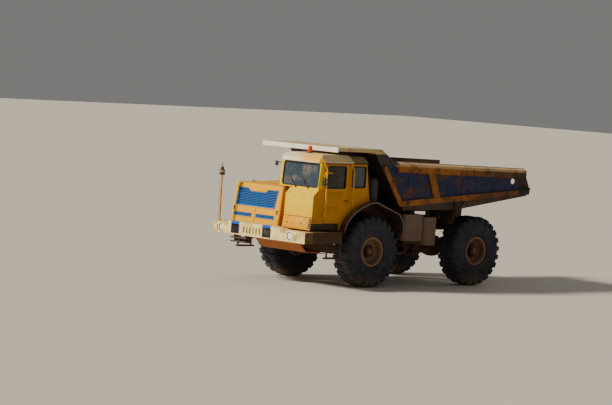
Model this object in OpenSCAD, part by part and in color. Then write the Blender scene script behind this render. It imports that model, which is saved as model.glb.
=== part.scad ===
// Rigid mining dump truck with an offset cab.
// Millimetres. The front faces -Y, the truck's left side is +X, and +Z is up.
// The origin is on the ground under the middle of the whole truck.

/* [Chassis layout] */
// Front axle to rear axle
wheelbase = 3600; // [3300:10:4000]
// Front axle to the bumper's face
front_overhang = 2273; // [2150:5:2400]
// Rear axle to the tail of the bed
rear_overhang = 1835; // [1700:5:1950]
// Distance between the middles of the left and right tyres
track = 2668; // [2600:4:2760]

/* [Tyres and rims] */
// Outer diameter over the lugs
tyre_od = 1730; // [1650:10:1760]
// Width over the lugs
tyre_w = 570; // [520:5:580]
// Height of a lug above the casing
lug_h = 38; // [20:1:60]
// Lugs round each side of a tyre
lug_count = 24; // [16:1:30]
// Length of a lug round the tyre
lug_len = 118; // [80:2:150]
// Diameter of the rim's bead seat
rim_d = 635; // [600:5:660]
// Width of the rim between its flanges
rim_w = 440; // [380:5:460]
// Outer diameter of the rim's flanges
flange_d = 740; // [700:5:780]
// Plate thickness of the rim
rim_t = 18; // [10:1:25]
// Radius of the spindle in a hub
spindle_r = 62; // [50:1:80]

/* [Frame] */
// Outer width over the two side rails
frame_w = 960; // [860:10:1040]
// Width of one side rail
rail_w = 120; // [80:5:160]
// Top of the rails ahead of the kick-up
rail_top_z = 1330; // [1290:5:1350]
// Depth of the rails ahead of the kick-up
rail_front_h = 320; // [260:10:340]
// Rise of the rails over the rear axle
rail_kick = 270; // [220:5:280]
// Depth of the rails behind the kick-up
rail_rear_h = 300; // [260:10:320]

/* [Axles and steering] */
// Distance between the two kingpins
kingpin_span = 2000; // [1960:10:2020]
// Radius of a kingpin
kingpin_r = 45; // [35:1:55]
// Length of a steering arm behind its kingpin
arm_len = 330; // [280:5:360]
// Radius of the tie rod's ball pins
ball_pin_r = 16; // [12:1:20]
// Radius of the tie rod
tie_rod_r = 26; // [18:1:32]

/* [Hood] */
// Left side of the hood
hood_x1 = 205; // [180:5:215]
// Right side of the hood
hood_x0 = -1545; // [-1555:5:-1450]
// Top of the hood at its front
hood_top_z = 2300; // [2240:5:2315]
// How much higher the hood's top is at its back
hood_rise = 60; // [20:5:70]
// Bottom of the hood's front
hood_bottom_z = 1357; // [1352:1:1380]
// Front axle to the hood's face at its foot
hood_front_y = 1850; // [1800:5:1900]
// How far the hood's face leans back at its top
hood_lean = 120; // [60:5:160]
// Front axle to the hood's back, behind it
hood_back_y = 60; // [0:5:160]
// Plate thickness of the hood
hood_t = 25; // [15:1:35]
// Radius of the hood's long edges
hood_edge_r = 95; // [50:5:120]

/* [Grille] */
// Width of the upper grille at its top
grille_w = 1450; // [1200:10:1460]
// Height of the upper grille
grille_h = 450; // [400:10:480]
// Foot of the upper grille
grille_z = 1735; // [1700:5:1760]
// Width of the notch in the grille's top
notch_w = 700; // [500:10:760]
// Depth of that notch
notch_h = 66; // [40:2:90]
// Slats in the upper grille
slat_count = 11; // [7:1:14]
// Thickness of one slat
slat_t = 12; // [8:1:16]

/* [Cab] */
// Right side of the cab's foot, beside the hood
cab_x0 = 235; // [225:5:250]
// Right side of the cab above the hood
cab_top_x0 = 10; // [-20:5:60]
// Left side of the cab
cab_x1 = 1420; // [1380:5:1450]
// Underside of the cab's front
cab_floor_z = 1364; // [1350:1:1400]
// Height of the roof gutter
gutter_z = 2961; // [2900:5:3000]
// Height of the roof above the gutter
roof_rise = 190; // [120:5:200]
// Wall thickness of the cab
cab_t = 45; // [30:1:60]
// Front axle to the cab's face at its foot
cab_front_y = 1942; // [1900:2:1945]
// Front axle to the nose's upper edge
nose_y = 1874; // [1850:2:1885]
// Height of the nose's upper edge
nose_z = 2180; // [2140:5:2220]
// Right side of the nose below the windshield
nose_x0 = 440; // [400:5:480]
// Front axle to the cab's face between hood and nose
cab_inner_y = 1600; // [1570:5:1630]
// Front axle to the cab's face at the roof
cab_brow_y = 1650; // [1620:5:1690]
// Front axle to the cab's back at the roof
cab_back_y = 190; // [150:5:230]
// Sill of the windshield
shield_z0 = 2370; // [2350:5:2400]
// Top of the windshield
shield_z1 = 2922; // [2860:2:2930]
// Glass thickness
glass_t = 8; // [5:1:12]
// Front edge of the door, ahead of the front axle
door_y0 = 1520; // [1500:5:1540]
// Rear edge of the door, ahead of the front axle
door_y1 = 745; // [720:5:780]
// Foot of the door
door_z0 = 1530; // [1510:5:1560]
// Top of the door
door_z1 = 2930; // [2900:5:2940]
// Gap round the door
door_gap = 7; // [5:1:12]
// Radius of the door's hinge pin
door_pin_r = 12; // [8:1:15]

/* [Bumper] */
// Width of the bumper
bumper_w = 3274; // [3200:10:3300]
// Bottom of the bumper
bumper_z0 = 1061; // [1040:5:1080]
// Top of the bumper's wings
bumper_z1 = 1331; // [1310:5:1340]
// Depth of the bumper
bumper_depth = 260; // [200:5:300]
// Plate thickness of the bumper
bumper_t = 20; // [12:1:25]
// Pin radius of the tow hitch
hitch_pin_r = 26; // [20:1:32]

/* [Fenders and steps] */
// Half width over the fenders' lips
fender_x = 1600; // [1580:5:1615]
// Thickness of a fender's sheet
fender_t = 30; // [15:1:35]
// Height of the fenders' crown
fender_top_z = 2068; // [2050:2:2090]
// Height of the steps' hanging tread
ladder_z = 700; // [650:5:750]

/* [Tanks] */
// Outer side of the tanks
tank_x = 1550; // [1500:5:1590]
// Width of the tanks
tank_w = 620; // [520:5:640]
// Top of the fuel tank
fuel_top_z = 1765; // [1740:5:1800]
// Height of the fuel tank
fuel_h = 645; // [600:5:680]
// Height of the oil tank
oil_h = 690; // [640:5:720]
// Front axle to the fuel tank's front
tank_y = 1056; // [1050:2:1080]
// Length of the fuel tank
fuel_len = 690; // [620:5:690]
// Length of the oil tank
oil_len = 460; // [400:5:480]

/* [Bed] */
// Width over the bed's rails
bed_w = 3224; // [3150:4:3240]
// Front axle to the foot of the bed's front wall
bed_front_y = 830; // [800:5:860]
// Bottom of the bed at its front
bed_z = 1953; // [1940:1:1970]
// Height of the bed's bottom edge at the tail
tail_z = 2299; // [2250:5:2340]
// Height of the rim at the front of the side
rim_front_z = 2945; // [2900:5:3000]
// Height of the rim at the tail
rim_rear_z = 2848; // [2800:5:2900]
// Top of the canopy
canopy_z = 3325; // [3290:5:3340]
// Height of the canopy's front flange
canopy_h = 115; // [90:5:125]
// Front axle to the canopy's lip, ahead of it
canopy_y = 1113; // [1000:5:1160]
// Half width of the canopy at its lip
canopy_x = 1343; // [1300:5:1400]
// Plate thickness of the bed
bed_t = 22; // [15:1:30]
// Depth of the bed's top rail
top_rail_h = 155; // [120:5:180]
// Depth of the bed's bottom rail
low_rail_h = 140; // [110:5:160]
// How far the side posts stand out of the panel
post_out = 55; // [35:5:60]
// Diameter of the lifting hole near the tail
lift_hole_d = 150; // [80:5:160]
// Gap between the bed's runners and the frame's pads
rest_gap = 6; // [5:1:10]
// Rear axle to the bed's hinge
hinge_y = 370; // [350:5:400]
// Radius of the hinge pins
hinge_pin_r = 45; // [35:1:55]

/* [Hoist] */
// Height of the hoist's foot pin
hoist_foot_z = 700; // [690:5:740]
// Rear axle to the hoist's foot pin, ahead of it
hoist_foot_y = 1300; // [1270:5:1330]
// Height of the hoist's eye on the bed
hoist_eye_z = 1900; // [1890:5:1910]
// Rear axle to the hoist's eye on the bed, ahead of it
hoist_eye_y = 300; // [280:5:330]
// Outer radius of a hoist barrel
barrel_r = 85; // [75:1:90]
// Radius of a hoist rod
rod_r = 45; // [35:1:55]
// Distance of a hoist from the truck's middle
hoist_x = 622; // [615:1:630]
// Radius of a hoist's pins
hoist_pin_r = 40; // [30:1:45]

/* [Fits] */
// Clearance of a pin in its bore
pin_gap = 0.05; // [0.02:0.01:0.09]
// Gap between pieces that lie against each other
seat_gap = 0.3; // [0.2:0.1:0.5]
// Running gap beside a moving piece
side_gap = 6; // [5:1:10]

/* [Hidden] */
$fn = 48;

// Places of the two axles along the truck
front_y = front_overhang - (front_overhang + wheelbase + rear_overhang) / 2;
rear_y = front_y + wheelbase;
hub_z = tyre_od / 2;
wheel_x = track / 2;
rail_x1 = frame_w / 2;
rail_x0 = rail_x1 - rail_w;
rail_rear_z = rail_top_z + rail_kick;
bed_x = bed_w / 2;
kingpin_x = kingpin_span / 2;

// Colours
hood_yellow = [0.93, 0.62, 0.20];
cab_yellow = [0.93, 0.68, 0.07];
cream = [0.86, 0.79, 0.60];
grille_blue = [0.12, 0.33, 0.72];
bed_blue = [0.10, 0.16, 0.32];
ochre = [0.50, 0.33, 0.05];
dark_steel = [0.15, 0.14, 0.13];
brown_steel = [0.24, 0.17, 0.12];
rust = [0.28, 0.18, 0.12];
tyre_black = [0.07, 0.07, 0.08];
glass_tint = [0.20, 0.28, 0.36, 0.5];

// Frames of reference: y = 0 at the front axle or at the rear axle
module at_front() { translate([0, front_y, 0]) children(); }
module at_rear() { translate([0, rear_y, 0]) children(); }
// A copy on each side of the truck
module both_sides() { children(); mirror([1, 0, 0]) children(); }
// A side outline, drawn as [y, z], from x0 to x1
module along_x(x0, x1) { translate([x0, 0, 0]) rotate([90, 0, 90]) linear_extrude(x1 - x0) children(); }
// A front outline, drawn as [x, z], from y0 to y1
module along_y(y0, y1) { translate([0, y1, 0]) rotate([90, 0, 0]) linear_extrude(y1 - y0) children(); }
// A box between two corners
module block(a, b) { translate(a) cube(b - a); }
// A round bar along X
module bar_x(x0, x1, y, z, r) { translate([x0, y, z]) rotate([0, 90, 0]) cylinder(r = r, h = x1 - x0); }

// Outline work: a closed outline runs counter-clockwise
function unit(v) = v / norm(v);
function left_of(v) = [-v.y, v.x];
function at(p, i) = p[(i + len(p)) % len(p)];
// The outline moved inwards by d
function inset(p, d) = [for (i = [0:len(p) - 1])
    let (a = left_of(unit(at(p, i) - at(p, i - 1))), b = left_of(unit(at(p, i + 1) - at(p, i))))
    at(p, i) + d * (a + b) / (1 + a * b)];
// The outline with corner i rounded to radius r[i], in steps pieces
function rounded(p, r, steps = 5) = [for (i = [0:len(p) - 1])
    let (u = unit(at(p, i - 1) - at(p, i)), v = unit(at(p, i + 1) - at(p, i)), half = acos(u * v) / 2,
        side = sign(cross(v, u)), c = at(p, i) + unit(u + v) * r[i] / sin(half),
        a0 = atan2(side * u.x, -side * u.y), turn = side * (180 - 2 * half))
    for (k = r[i] > 0 ? [0:steps] : [0])
        r[i] > 0 ? c + r[i] * [cos(a0 + turn * k / steps), sin(a0 + turn * k / steps)] : at(p, i)];

// Tyres and rims

tyre_r = tyre_od / 2;
lug_top = sqrt(tyre_r * tyre_r - lug_len * lug_len / 4);
casing_r = tyre_r - lug_h;
half_w = tyre_w / 2;
rim_r = rim_d / 2;

// The casing, turned round the wheel's axis: [radius, half width]
bead_w = rim_w / 2 - 2 * seat_gap;
casing_side = [[rim_r, bead_w], [flange_d / 2 + 4, bead_w], [flange_d / 2 + 12, rim_w / 2 + rim_t + 6],
    [flange_d / 2 + 85, half_w * 0.97], [flange_d / 2 + 190, half_w * 0.985], [casing_r - 130, half_w * 0.95],
    [casing_r - 62, half_w * 0.89], [casing_r - 15, half_w * 0.76], [casing_r, half_w * 0.55]];
module casing() {
    outline = concat(casing_side, [for (i = [len(casing_side) - 1:-1:0]) [casing_side[i].x, -casing_side[i].y]]);
    rotate_extrude($fn = 64) polygon(outline);
}

// One lug on the positive side: [along the axis, radius]
module lug() {
    shape = [[0.06, casing_r - 12], [0.06, lug_top - 4], [0.14, lug_top], [0.72, lug_top],
        [0.90, lug_top - 22], [1.00, casing_r - 72], [1.00, casing_r - 118], [0.93, casing_r - 118], [0.70, casing_r - 30]];
    rotate([90, 0, 0]) translate([0, 0, -lug_len / 2]) linear_extrude(lug_len)
        polygon([for (p = shape) [p[1], p[0] * half_w]]);
}

module tyre_shape() {
    pitch = 360 / lug_count;
    casing();
    for (i = [0:lug_count - 1]) {
        rotate([0, 0, pitch * (i + 0.25)]) lug();
        rotate([0, 0, pitch * (i - 0.25)]) mirror([0, 0, 1]) lug();
    }
}

// A rim with its disc and hub, turned round the wheel's axis, outer side up
module rim_shape(hub_r, nose, bore_depth) {
    seat = rim_r - seat_gap;
    half = rim_w / 2;
    lip = flange_d / 2;
    inner = seat - rim_t;
    face = half - 130;
    bore = spindle_r + pin_gap;
    difference() {
        rotate_extrude($fn = 64) polygon([
            [seat, half - seat_gap], [lip, half - seat_gap], [lip, half + rim_t], [inner + 8, half + rim_t],
            [inner + 8, half - 30], [inner, half - 40], [inner, face + rim_t], [hub_r + 75, face + rim_t],
            [hub_r + 45, face - 20], [hub_r, face - 20], [hub_r, nose - 15], [hub_r - 15, nose], [0, nose],
            [0, nose - 30], [bore, nose - 30], [bore, bore_depth], [hub_r + 20, bore_depth],
            [hub_r + 30, face - 50], [hub_r + 85, face - 10], [inner, face - 10],
            [inner, -half - rim_t], [lip, -half - rim_t], [lip, -half + seat_gap], [seat, -half + seat_gap]]);
    }
}

// The wheel's axis turned from Z to X, outer side towards the side's own end
module on_left_wheel() { translate([wheel_x, 0, hub_z]) rotate([0, 90, 0]) children(); }
module wheel_left(y) { translate([0, y, 0]) on_left_wheel() children(); }
module wheel_right(y) { mirror([1, 0, 0]) wheel_left(y) children(); }

front_hub_r = 105;
rear_hub_r = 135;
front_nose = rim_w / 2 - 55;
rear_nose = rim_w / 2 - 20;
hub_inner = -85;

module rim_fl() { color(rust) wheel_left(front_y) rim_shape(front_hub_r, front_nose, hub_inner); }
module rim_fr() { color(rust) wheel_right(front_y) rim_shape(front_hub_r, front_nose, hub_inner); }
module rim_rl() { color(rust) wheel_left(rear_y) rim_shape(rear_hub_r, rear_nose, hub_inner); }
module rim_rr() { color(rust) wheel_right(rear_y) rim_shape(rear_hub_r, rear_nose, hub_inner); }
module tyre_fl() { color(tyre_black) wheel_left(front_y) tyre_shape(); }
module tyre_fr() { color(tyre_black) wheel_right(front_y) tyre_shape(); }
module tyre_rl() { color(tyre_black) wheel_left(rear_y) tyre_shape(); }
module tyre_rr() { color(tyre_black) wheel_right(rear_y) tyre_shape(); }

// Frame

rail_end = front_overhang - bumper_depth;
hinge_r = 120;
hinge_z = rail_rear_z - hinge_r;
kick_y0 = tank_y + 100;
kick_y1 = kick_y0 + 650;
hinge_at = wheelbase + hinge_y;
strut_front_x = 740;
strut_rear_x = 880;
outrigger_z = rail_rear_z - 110;

module rail_outline() {
    polygon([[-rail_end + 20, rail_top_z - rail_front_h + 60], [-rail_end + 250, rail_top_z - rail_front_h],
        [kick_y0, rail_top_z - rail_front_h], [kick_y1, rail_rear_z - rail_rear_h],
        [hinge_at - 300, rail_rear_z - rail_rear_h], [hinge_at, hinge_z - hinge_r],
        [hinge_at, rail_rear_z], [kick_y1, rail_rear_z], [kick_y0, rail_top_z], [-rail_end + 20, rail_top_z]]);
}

module frame() {
    color(dark_steel) at_front() difference() {
        union() {
            both_sides() {
                along_x(rail_x0, rail_x1) rail_outline();
                bar_x(rail_x0, rail_x1, hinge_at, hinge_z, hinge_r);
                // Outriggers over the suspension struts
                block([rail_x1 - 1, -110, rail_top_z - 90], [strut_front_x + 90, 110, rail_top_z + 60]);
                block([rail_x1 - 1, wheelbase - 60, outrigger_z - 110], [strut_rear_x + 85, wheelbase + 100, outrigger_z]);
                // Plate and pin that carry the hoist's foot
                along_x(rail_x1 - 1, rail_x1 + 50) polygon([
                    [wheelbase - hoist_foot_y - 260, rail_rear_z - rail_rear_h + 40],
                    [wheelbase - hoist_foot_y - 90, hoist_foot_z - 60],
                    [wheelbase - hoist_foot_y - 30, hoist_foot_z - 90],
                    [wheelbase - hoist_foot_y + 30, hoist_foot_z - 90],
                    [wheelbase - hoist_foot_y + 90, hoist_foot_z - 60],
                    [wheelbase - hoist_foot_y + 200, rail_rear_z - rail_rear_h + 40]]);
                bar_x(rail_x1, hoist_x + 85, wheelbase - hoist_foot_y, hoist_foot_z, hoist_pin_r);
                bar_x(hoist_x + 72, hoist_x + 85, wheelbase - hoist_foot_y, hoist_foot_z, hoist_pin_r + 22);
                // Rest pads under the bed's runners
                for (y = [kick_y1 + 120, wheelbase - 500])
                    block([rail_x0 + 10, y, rail_rear_z - 1], [rail_x1 - 10, y + 220, runner_z - rest_gap]);
                // Tank brackets
                for (y = [tank_y + 150, tank_y + fuel_len - 150])
                    block([rail_x1 - 1, y - 40, rail_top_z - 150], [tank_x - tank_w - seat_gap, y + 40, rail_top_z - 60]);
            }
            // Cross members
            for (y = [-rail_end + 120, -1450, 800])
                bar_x(-rail_x0 - 1, rail_x0 + 1, y, rail_top_z - 64, 58);
            for (y = [kick_y1 + 100, wheelbase - 700])
                bar_x(-rail_x0 - 1, rail_x0 + 1, y, rail_rear_z - 150, 75);
            bar_x(-rail_x0 - 1, rail_x0 + 1, hinge_at - 180, hinge_z, 90);
            // Front plate that carries the bumper
            block([-rail_x1 - 60, -rail_end + seat_gap, rail_top_z - rail_front_h + 60], [rail_x1 + 60, -rail_end + 24, rail_top_z - 5]);
        }
        both_sides() bar_x(rail_x0 - 10, rail_x1 + 10, hinge_at, hinge_z, hinge_pin_r + pin_gap);
    }
}

// Front axle, knuckles and tie rod

yoke_h = 110;
arm_z = hub_z - 105;
module front_axle() {
    color(brown_steel) at_front() difference() {
        union() {
            both_sides() {
                translate([kingpin_x, 0, hub_z - yoke_h]) cylinder(r = kingpin_r + 38, h = 2 * yoke_h);
                along_y(-75, 75) polygon([[300, hub_z - 150], [kingpin_x - 20, hub_z - 85], [kingpin_x - 20, hub_z + 85],
                    [620, hub_z + 95], [300, hub_z + 40]]);
                // Seat of the suspension strut
                translate([strut_front_x, 0, hub_z + 60]) cylinder(r = 90, h = 40);
            }
            block([-301, -75, hub_z - 150], [301, 75, hub_z + 40]);
        }
        both_sides() translate([kingpin_x, 0, hub_z - yoke_h - 10])
            cylinder(r = kingpin_r + pin_gap, h = 2 * yoke_h + 20);
    }
}

module knuckle() {
    web_x = kingpin_r + 38 + side_gap;
    ear_z = yoke_h + side_gap;
    translate([kingpin_x, 0, hub_z]) {
        translate([0, 0, -ear_z - 45]) cylinder(r = kingpin_r, h = 2 * (ear_z + 45));
        for (z = [-ear_z - 45, ear_z]) translate([0, 0, z]) {
            cylinder(r = 78, h = 45);
            translate([0, -78, 0]) cube([web_x + 40, 156, 45]);
        }
        translate([web_x, -78, -ear_z - 45]) cube([45, 156, 2 * (ear_z + 45)]);
        bar_x(web_x + 40, wheel_x - kingpin_x + front_nose - 36, 0, 0, spindle_r);
        // Steering arm, from the lower ear back to the tie rod
        translate([-30, 70, -ear_z - 45]) cube([60, arm_len - 70, 45]);
        translate([0, arm_len, -ear_z - 45]) cylinder(r = 42, h = 45);
        translate([0, arm_len, -ear_z - 120]) cylinder(r = ball_pin_r, h = 80);
        translate([0, arm_len, -ear_z - 128]) cylinder(r = ball_pin_r + 10, h = 12);
    }
}
module knuckle_l() { color(brown_steel) at_front() knuckle(); }
module knuckle_r() { color(brown_steel) mirror([1, 0, 0]) at_front() knuckle(); }

tie_z = hub_z - yoke_h - side_gap - 80;
module tie_rod() {
    color(dark_steel) at_front() translate([0, arm_len, tie_z]) difference() {
        union() {
            both_sides() translate([kingpin_x, 0, -28]) cylinder(r = 40, h = 56);
            bar_x(-kingpin_x + 30, kingpin_x - 30, 0, 0, tie_rod_r);
        }
        both_sides() translate([kingpin_x, 0, -30]) cylinder(r = ball_pin_r + pin_gap, h = 60);
    }
}

// Rear axle and suspension

module rear_axle() {
    color(brown_steel) at_rear() {
        both_sides() {
            bar_x(0, wheel_x + hub_inner - 20, 0, hub_z, 120);
            bar_x(wheel_x + hub_inner - 60, wheel_x + hub_inner - 20, 0, hub_z, 170);
            bar_x(wheel_x + hub_inner - 25, wheel_x + rear_nose - 36, 0, hub_z, spindle_r);
            // Seat of the suspension strut
            translate([strut_rear_x, 20, hub_z + 90]) cylinder(r = 85, h = 50);
        }
        // Final drive housing
        translate([0, 0, hub_z]) rotate([0, 90, 0]) rotate_extrude($fn = 48)
            polygon([[0, -330], [130, -330], [250, -170], [275, -60], [275, 60], [250, 170], [130, 330], [0, 330]]);
        translate([0, -380, hub_z]) rotate([-90, 0, 0]) cylinder(r = 105, h = 200);
    }
}

module strut(x, y, z0, z1) {
    translate([x, y, z0]) cylinder(r = 58, h = (z1 - z0) * 0.5);
    translate([x, y, z0 + (z1 - z0) * 0.5 - 20]) cylinder(r = 78, h = (z1 - z0) * 0.5 + 20);
}
module suspension() {
    color(dark_steel) both_sides() {
        at_front() strut(strut_front_x, 0, hub_z + 100 + seat_gap, rail_top_z - 90 - seat_gap);
        at_rear() strut(strut_rear_x, 20, hub_z + 140 + seat_gap, outrigger_z - 110 - seat_gap);
    }
}

// Engine and driveline

module engine() {
    color(dark_steel) at_front() {
        block([-330, -1350, rail_top_z - 230], [330, -350, rail_top_z + 20]);
        along_y(-1350, -250) polygon([[-560, rail_top_z + 15], [120, rail_top_z + 15], [120, 1800], [-40, 2120],
            [-640, 2120], [-820, 1900], [-820, 1640], [-560, 1560]]);
        // Mounts on the rails
        for (y = [-1200, -560]) block([-rail_x0 + seat_gap, y, rail_top_z - 130], [rail_x0 - seat_gap, y + 80, rail_top_z - 50]);
    }
}

module radiator() {
    y0 = -hood_front_y + hood_lean + 95;
    color(dark_steel) at_front() difference() {
        union() {
            block([hood_x0 + 130, y0, hood_bottom_z + 70], [hood_x1 - 110, y0 + 130, hood_top_z - 110]);
            // Foot on the right rail
            block([-rail_x1, y0 + 10, rail_top_z + seat_gap], [-rail_x0 + 200, y0 + 120, hood_bottom_z + 71]);
        }
        block([hood_x0 + 190, y0 - 10, hood_bottom_z + 130], [hood_x1 - 170, y0 + 20, hood_top_z - 170]);
    }
}

module transmission() {
    color(dark_steel) at_front() {
        // Gearbox
        block([-230, -350 + seat_gap, rail_top_z - 310], [230, 560, rail_top_z - 10]);
        block([-rail_x0 + seat_gap, 200, rail_top_z - 200], [rail_x0 - seat_gap, 280, rail_top_z - 120]);
        along_y(555, 680) circle_at(0, rail_top_z - 230, 130);
        // Propeller shaft back to the final drive
        propshaft([0, 680, rail_top_z - 230], [0, wheelbase - 386, hub_z], 55);
    }
}
module circle_at(x, z, r) { translate([x, z]) circle(r = r); }
module propshaft(a, b, r) {
    d = b - a;
    translate(a) rotate([-90 + atan2(d.z, d.y), 0, 0]) cylinder(r = r, h = norm(d));
}

// Hood, grille and radiator

function hood_face_y(z) = -hood_front_y + hood_lean * (z - hood_bottom_z) / (hood_top_z - hood_bottom_z);
hood_side = [[-hood_front_y, hood_bottom_z], [hood_back_y, hood_bottom_z], [hood_back_y, hood_top_z + hood_rise],
    [-hood_front_y + hood_lean, hood_top_z]];
hood_slope = atan2(hood_rise, hood_back_y + hood_front_y - hood_lean);
hood_tilt = atan2(hood_lean, hood_top_z - hood_bottom_z);
hood_corner_r = 75;
// Height of the hood's top, h above it
function hood_z(y, h = 0) = hood_top_z + h + (y + hood_front_y - hood_lean) * tan(hood_slope);

// The hood's block, d inside its faces and h lower at its foot
module hood_block(d, h = 0) {
    over = 0.5;
    deep = hood_top_z - hood_bottom_z + 300;
    long = hood_front_y + hood_back_y + 400;
    r = hood_edge_r - d;
    intersection() {
        along_x(hood_x0 - 10, hood_x1 + 10) difference() {
            polygon(rounded(inset(hood_side, d), [0, 0, 0, r]));
            translate([-hood_front_y - 100, hood_bottom_z - 100]) square([long, 100]);
        }
        // Long edges, which rise to the back
        translate([0, -hood_front_y + hood_lean, hood_top_z]) rotate([hood_slope, 0, 0]) along_y(-300, long)
            polygon(rounded([[hood_x0 + d, -deep], [hood_x1 - d, -deep], [hood_x1 - d, over - d], [hood_x0 + d, over - d]],
                [0, 0, r, r]));
        // Front corners, which lean with the face
        translate([0, -hood_front_y, hood_bottom_z]) rotate([-hood_tilt, 0, 0]) translate([0, 0, -100])
            linear_extrude(deep + 200) polygon(rounded([[hood_x0 + d - over, long], [hood_x0 + d - over, d - over],
                [hood_x1 - d + over, d - over], [hood_x1 - d + over, long]], [0, hood_corner_r - d, hood_corner_r - d, 0]));
    }
    // The same block's foot, drawn straight down
    if (h > 0) block([hood_x0 + hood_corner_r, -hood_front_y + hood_corner_r, hood_bottom_z - h],
        [hood_x1 - hood_corner_r, hood_back_y - d, hood_bottom_z + d + 5]);
}

grille_x = (hood_x0 + hood_x1) / 2;
low_slot_z = 1487;
low_slot_h = 90;
low_slot_w = 645;
low_slot_x = grille_x - 38;

// The upper grille's outline, with the notch in its top
module grille_outline(grow = 0) {
    w = grille_w / 2;
    n = notch_w / 2;
    top = grille_z + grille_h;
    p = [[-w - 25, grille_z], [w - 62, grille_z], [w, top], [n, top], [n - 95, top - notch_h],
        [-n + 95, top - notch_h], [-n, top], [-w, top]];
    translate([grille_x, 0]) polygon(inset(p, -grow));
}
module low_slots(grow = 0) {
    for (s = [-1, 1]) translate([low_slot_x + s * (low_slot_w / 2 + 82) - low_slot_w / 2 - grow, low_slot_z - grow])
        square([low_slot_w + 2 * grow, low_slot_h + 2 * grow]);
}

// Space kept clear of hood and cab by the fenders
module fender_space(x0, x1, out) { along_x(x0, x1) polygon(inset(fender_line, -out)); }

module hood() {
    color(hood_yellow) at_front() difference() {
        hood_block(0);
        hood_block(hood_t, 20);
        along_y(-hood_front_y - 20, -hood_front_y + hood_lean + hood_t + 60) {
            grille_outline();
            low_slots();
        }
        fender_space(hood_x0 - 20, hood_x1 + 20, 3);
    }
}

module grille() {
    depth = 40;
    color(grille_blue) at_front() intersection() {
        // The grille lies in the slope of the hood's face, just behind its edge
        along_x(hood_x0, hood_x1) polygon([[hood_face_y(1300) + 6, 1300], [hood_face_y(1300) + 6 + depth, 1300],
            [hood_face_y(2290) + 6 + depth, 2290], [hood_face_y(2290) + 6, 2290]]);
        union() {
            along_y(-hood_front_y - 10, -hood_front_y + 300) difference() {
                grille_outline(-seat_gap);
                grille_outline(-28);
            }
            intersection() {
                along_y(-hood_front_y - 10, -hood_front_y + 300) grille_outline(-seat_gap);
                union() {
                    for (i = [1:slat_count]) translate([0, 0, grille_z + i * grille_h / (slat_count + 1)])
                        along_x(hood_x0, hood_x1) polygon([[-hood_front_y, -30], [-hood_front_y + 260, 60],
                            [-hood_front_y + 260, 60 + slat_t], [-hood_front_y, -30 + slat_t]]);
                    for (s = [-1:1]) translate([grille_x + s * 350, 0, 0])
                        block([-6, -hood_front_y, grille_z], [6, -hood_front_y + 260, grille_z + grille_h]);
                }
            }
            along_y(-hood_front_y - 10, -hood_front_y + 300) difference() {
                low_slots(-seat_gap);
                low_slots(-14);
            }
            intersection() {
                along_y(-hood_front_y - 10, -hood_front_y + 300) low_slots(-seat_gap);
                union() {
                    for (i = [1:2]) translate([0, 0, low_slot_z + i * low_slot_h / 3])
                        along_x(hood_x0, hood_x1) polygon([[-hood_front_y, -15], [-hood_front_y + 260, 45],
                            [-hood_front_y + 260, 45 + slat_t], [-hood_front_y, -15 + slat_t]]);
                }
            }
        }
    }
}

// Cab

door_hinge_zs = [1760, 2700];
hinge_out = door_pin_r + 10 + side_gap;
hinge_y_off = -door_y0 - door_gap - 12;
brow = -cab_brow_y;
foot = -cab_front_y;
ledge_z = shield_z0 - 40;
ledge_y = brow - (gutter_z - ledge_z) * 0.085;
flap_z = 1665;
cab_rear = -cab_back_y + 150;
cab_side = [[foot, cab_floor_z], [cab_rear, cab_floor_z], [cab_rear, cab_floor_z + 660], [-cab_back_y, gutter_z],
    [brow, gutter_z], [ledge_y, ledge_z], [-nose_y, nose_z], [-nose_y - 16, flap_z]];
module cab_side_outline(d = 0) { polygon(inset(cab_side, d)); }
// Plans of the cab below the windshield's foot, with the nose, and above it
split_z = ledge_z;
module low_plan(d) {
    polygon(inset([[cab_x0, -cab_inner_y], [nose_x0, -cab_inner_y], [nose_x0, foot - 100], [cab_x1, foot - 100],
        [cab_x1, 100], [cab_x0, 100]], d));
}
module top_plan(d) {
    polygon(inset([[cab_top_x0, brow - 150], [cab_x1 - 60, brow - 150], [cab_x1 - 60, ledge_y - 16],
        [cab_x1, ledge_y + 104], [cab_x1, 100], [cab_top_x0, 100]], d));
}
// The cab's block, d inside its faces
module cab_block(d) {
    low_top = split_z + d + (d > 0 ? 1 : 0);
    difference() {
        intersection() {
            along_x(cab_top_x0, cab_x1) cab_side_outline(d);
            union() {
                translate([0, 0, cab_floor_z]) linear_extrude(low_top - cab_floor_z) low_plan(d);
                translate([0, 0, split_z + d]) linear_extrude(gutter_z - split_z) top_plan(d);
            }
        }
        // Room for the hood under the cab's overhang
        along_x(cab_top_x0 - 10, cab_x0 + d) polygon([[foot - 200, split_z - 100], [200, split_z - 100],
            [200, hood_z(200, hood_gap + d)], [foot - 200, hood_z(foot - 200, hood_gap + d)]]);
    }
}
hood_gap = 8;
window_low_z = 2365;
window_top_z = 2885;
sill_z = hood_z(0, hood_gap + cab_t + 35);
quarter_y0 = -655;
quarter_y1 = -215;

module door_opening(grow) {
    polygon([[-door_y0 - grow, door_z0 - grow], [-door_y1 - 95 + grow, door_z0 - grow], [-door_y1 + grow, door_z0 + 230 - grow],
        [-door_y1 + grow, door_z1 + grow], [-door_y0 - grow, door_z1 + grow]]);
}
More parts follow.
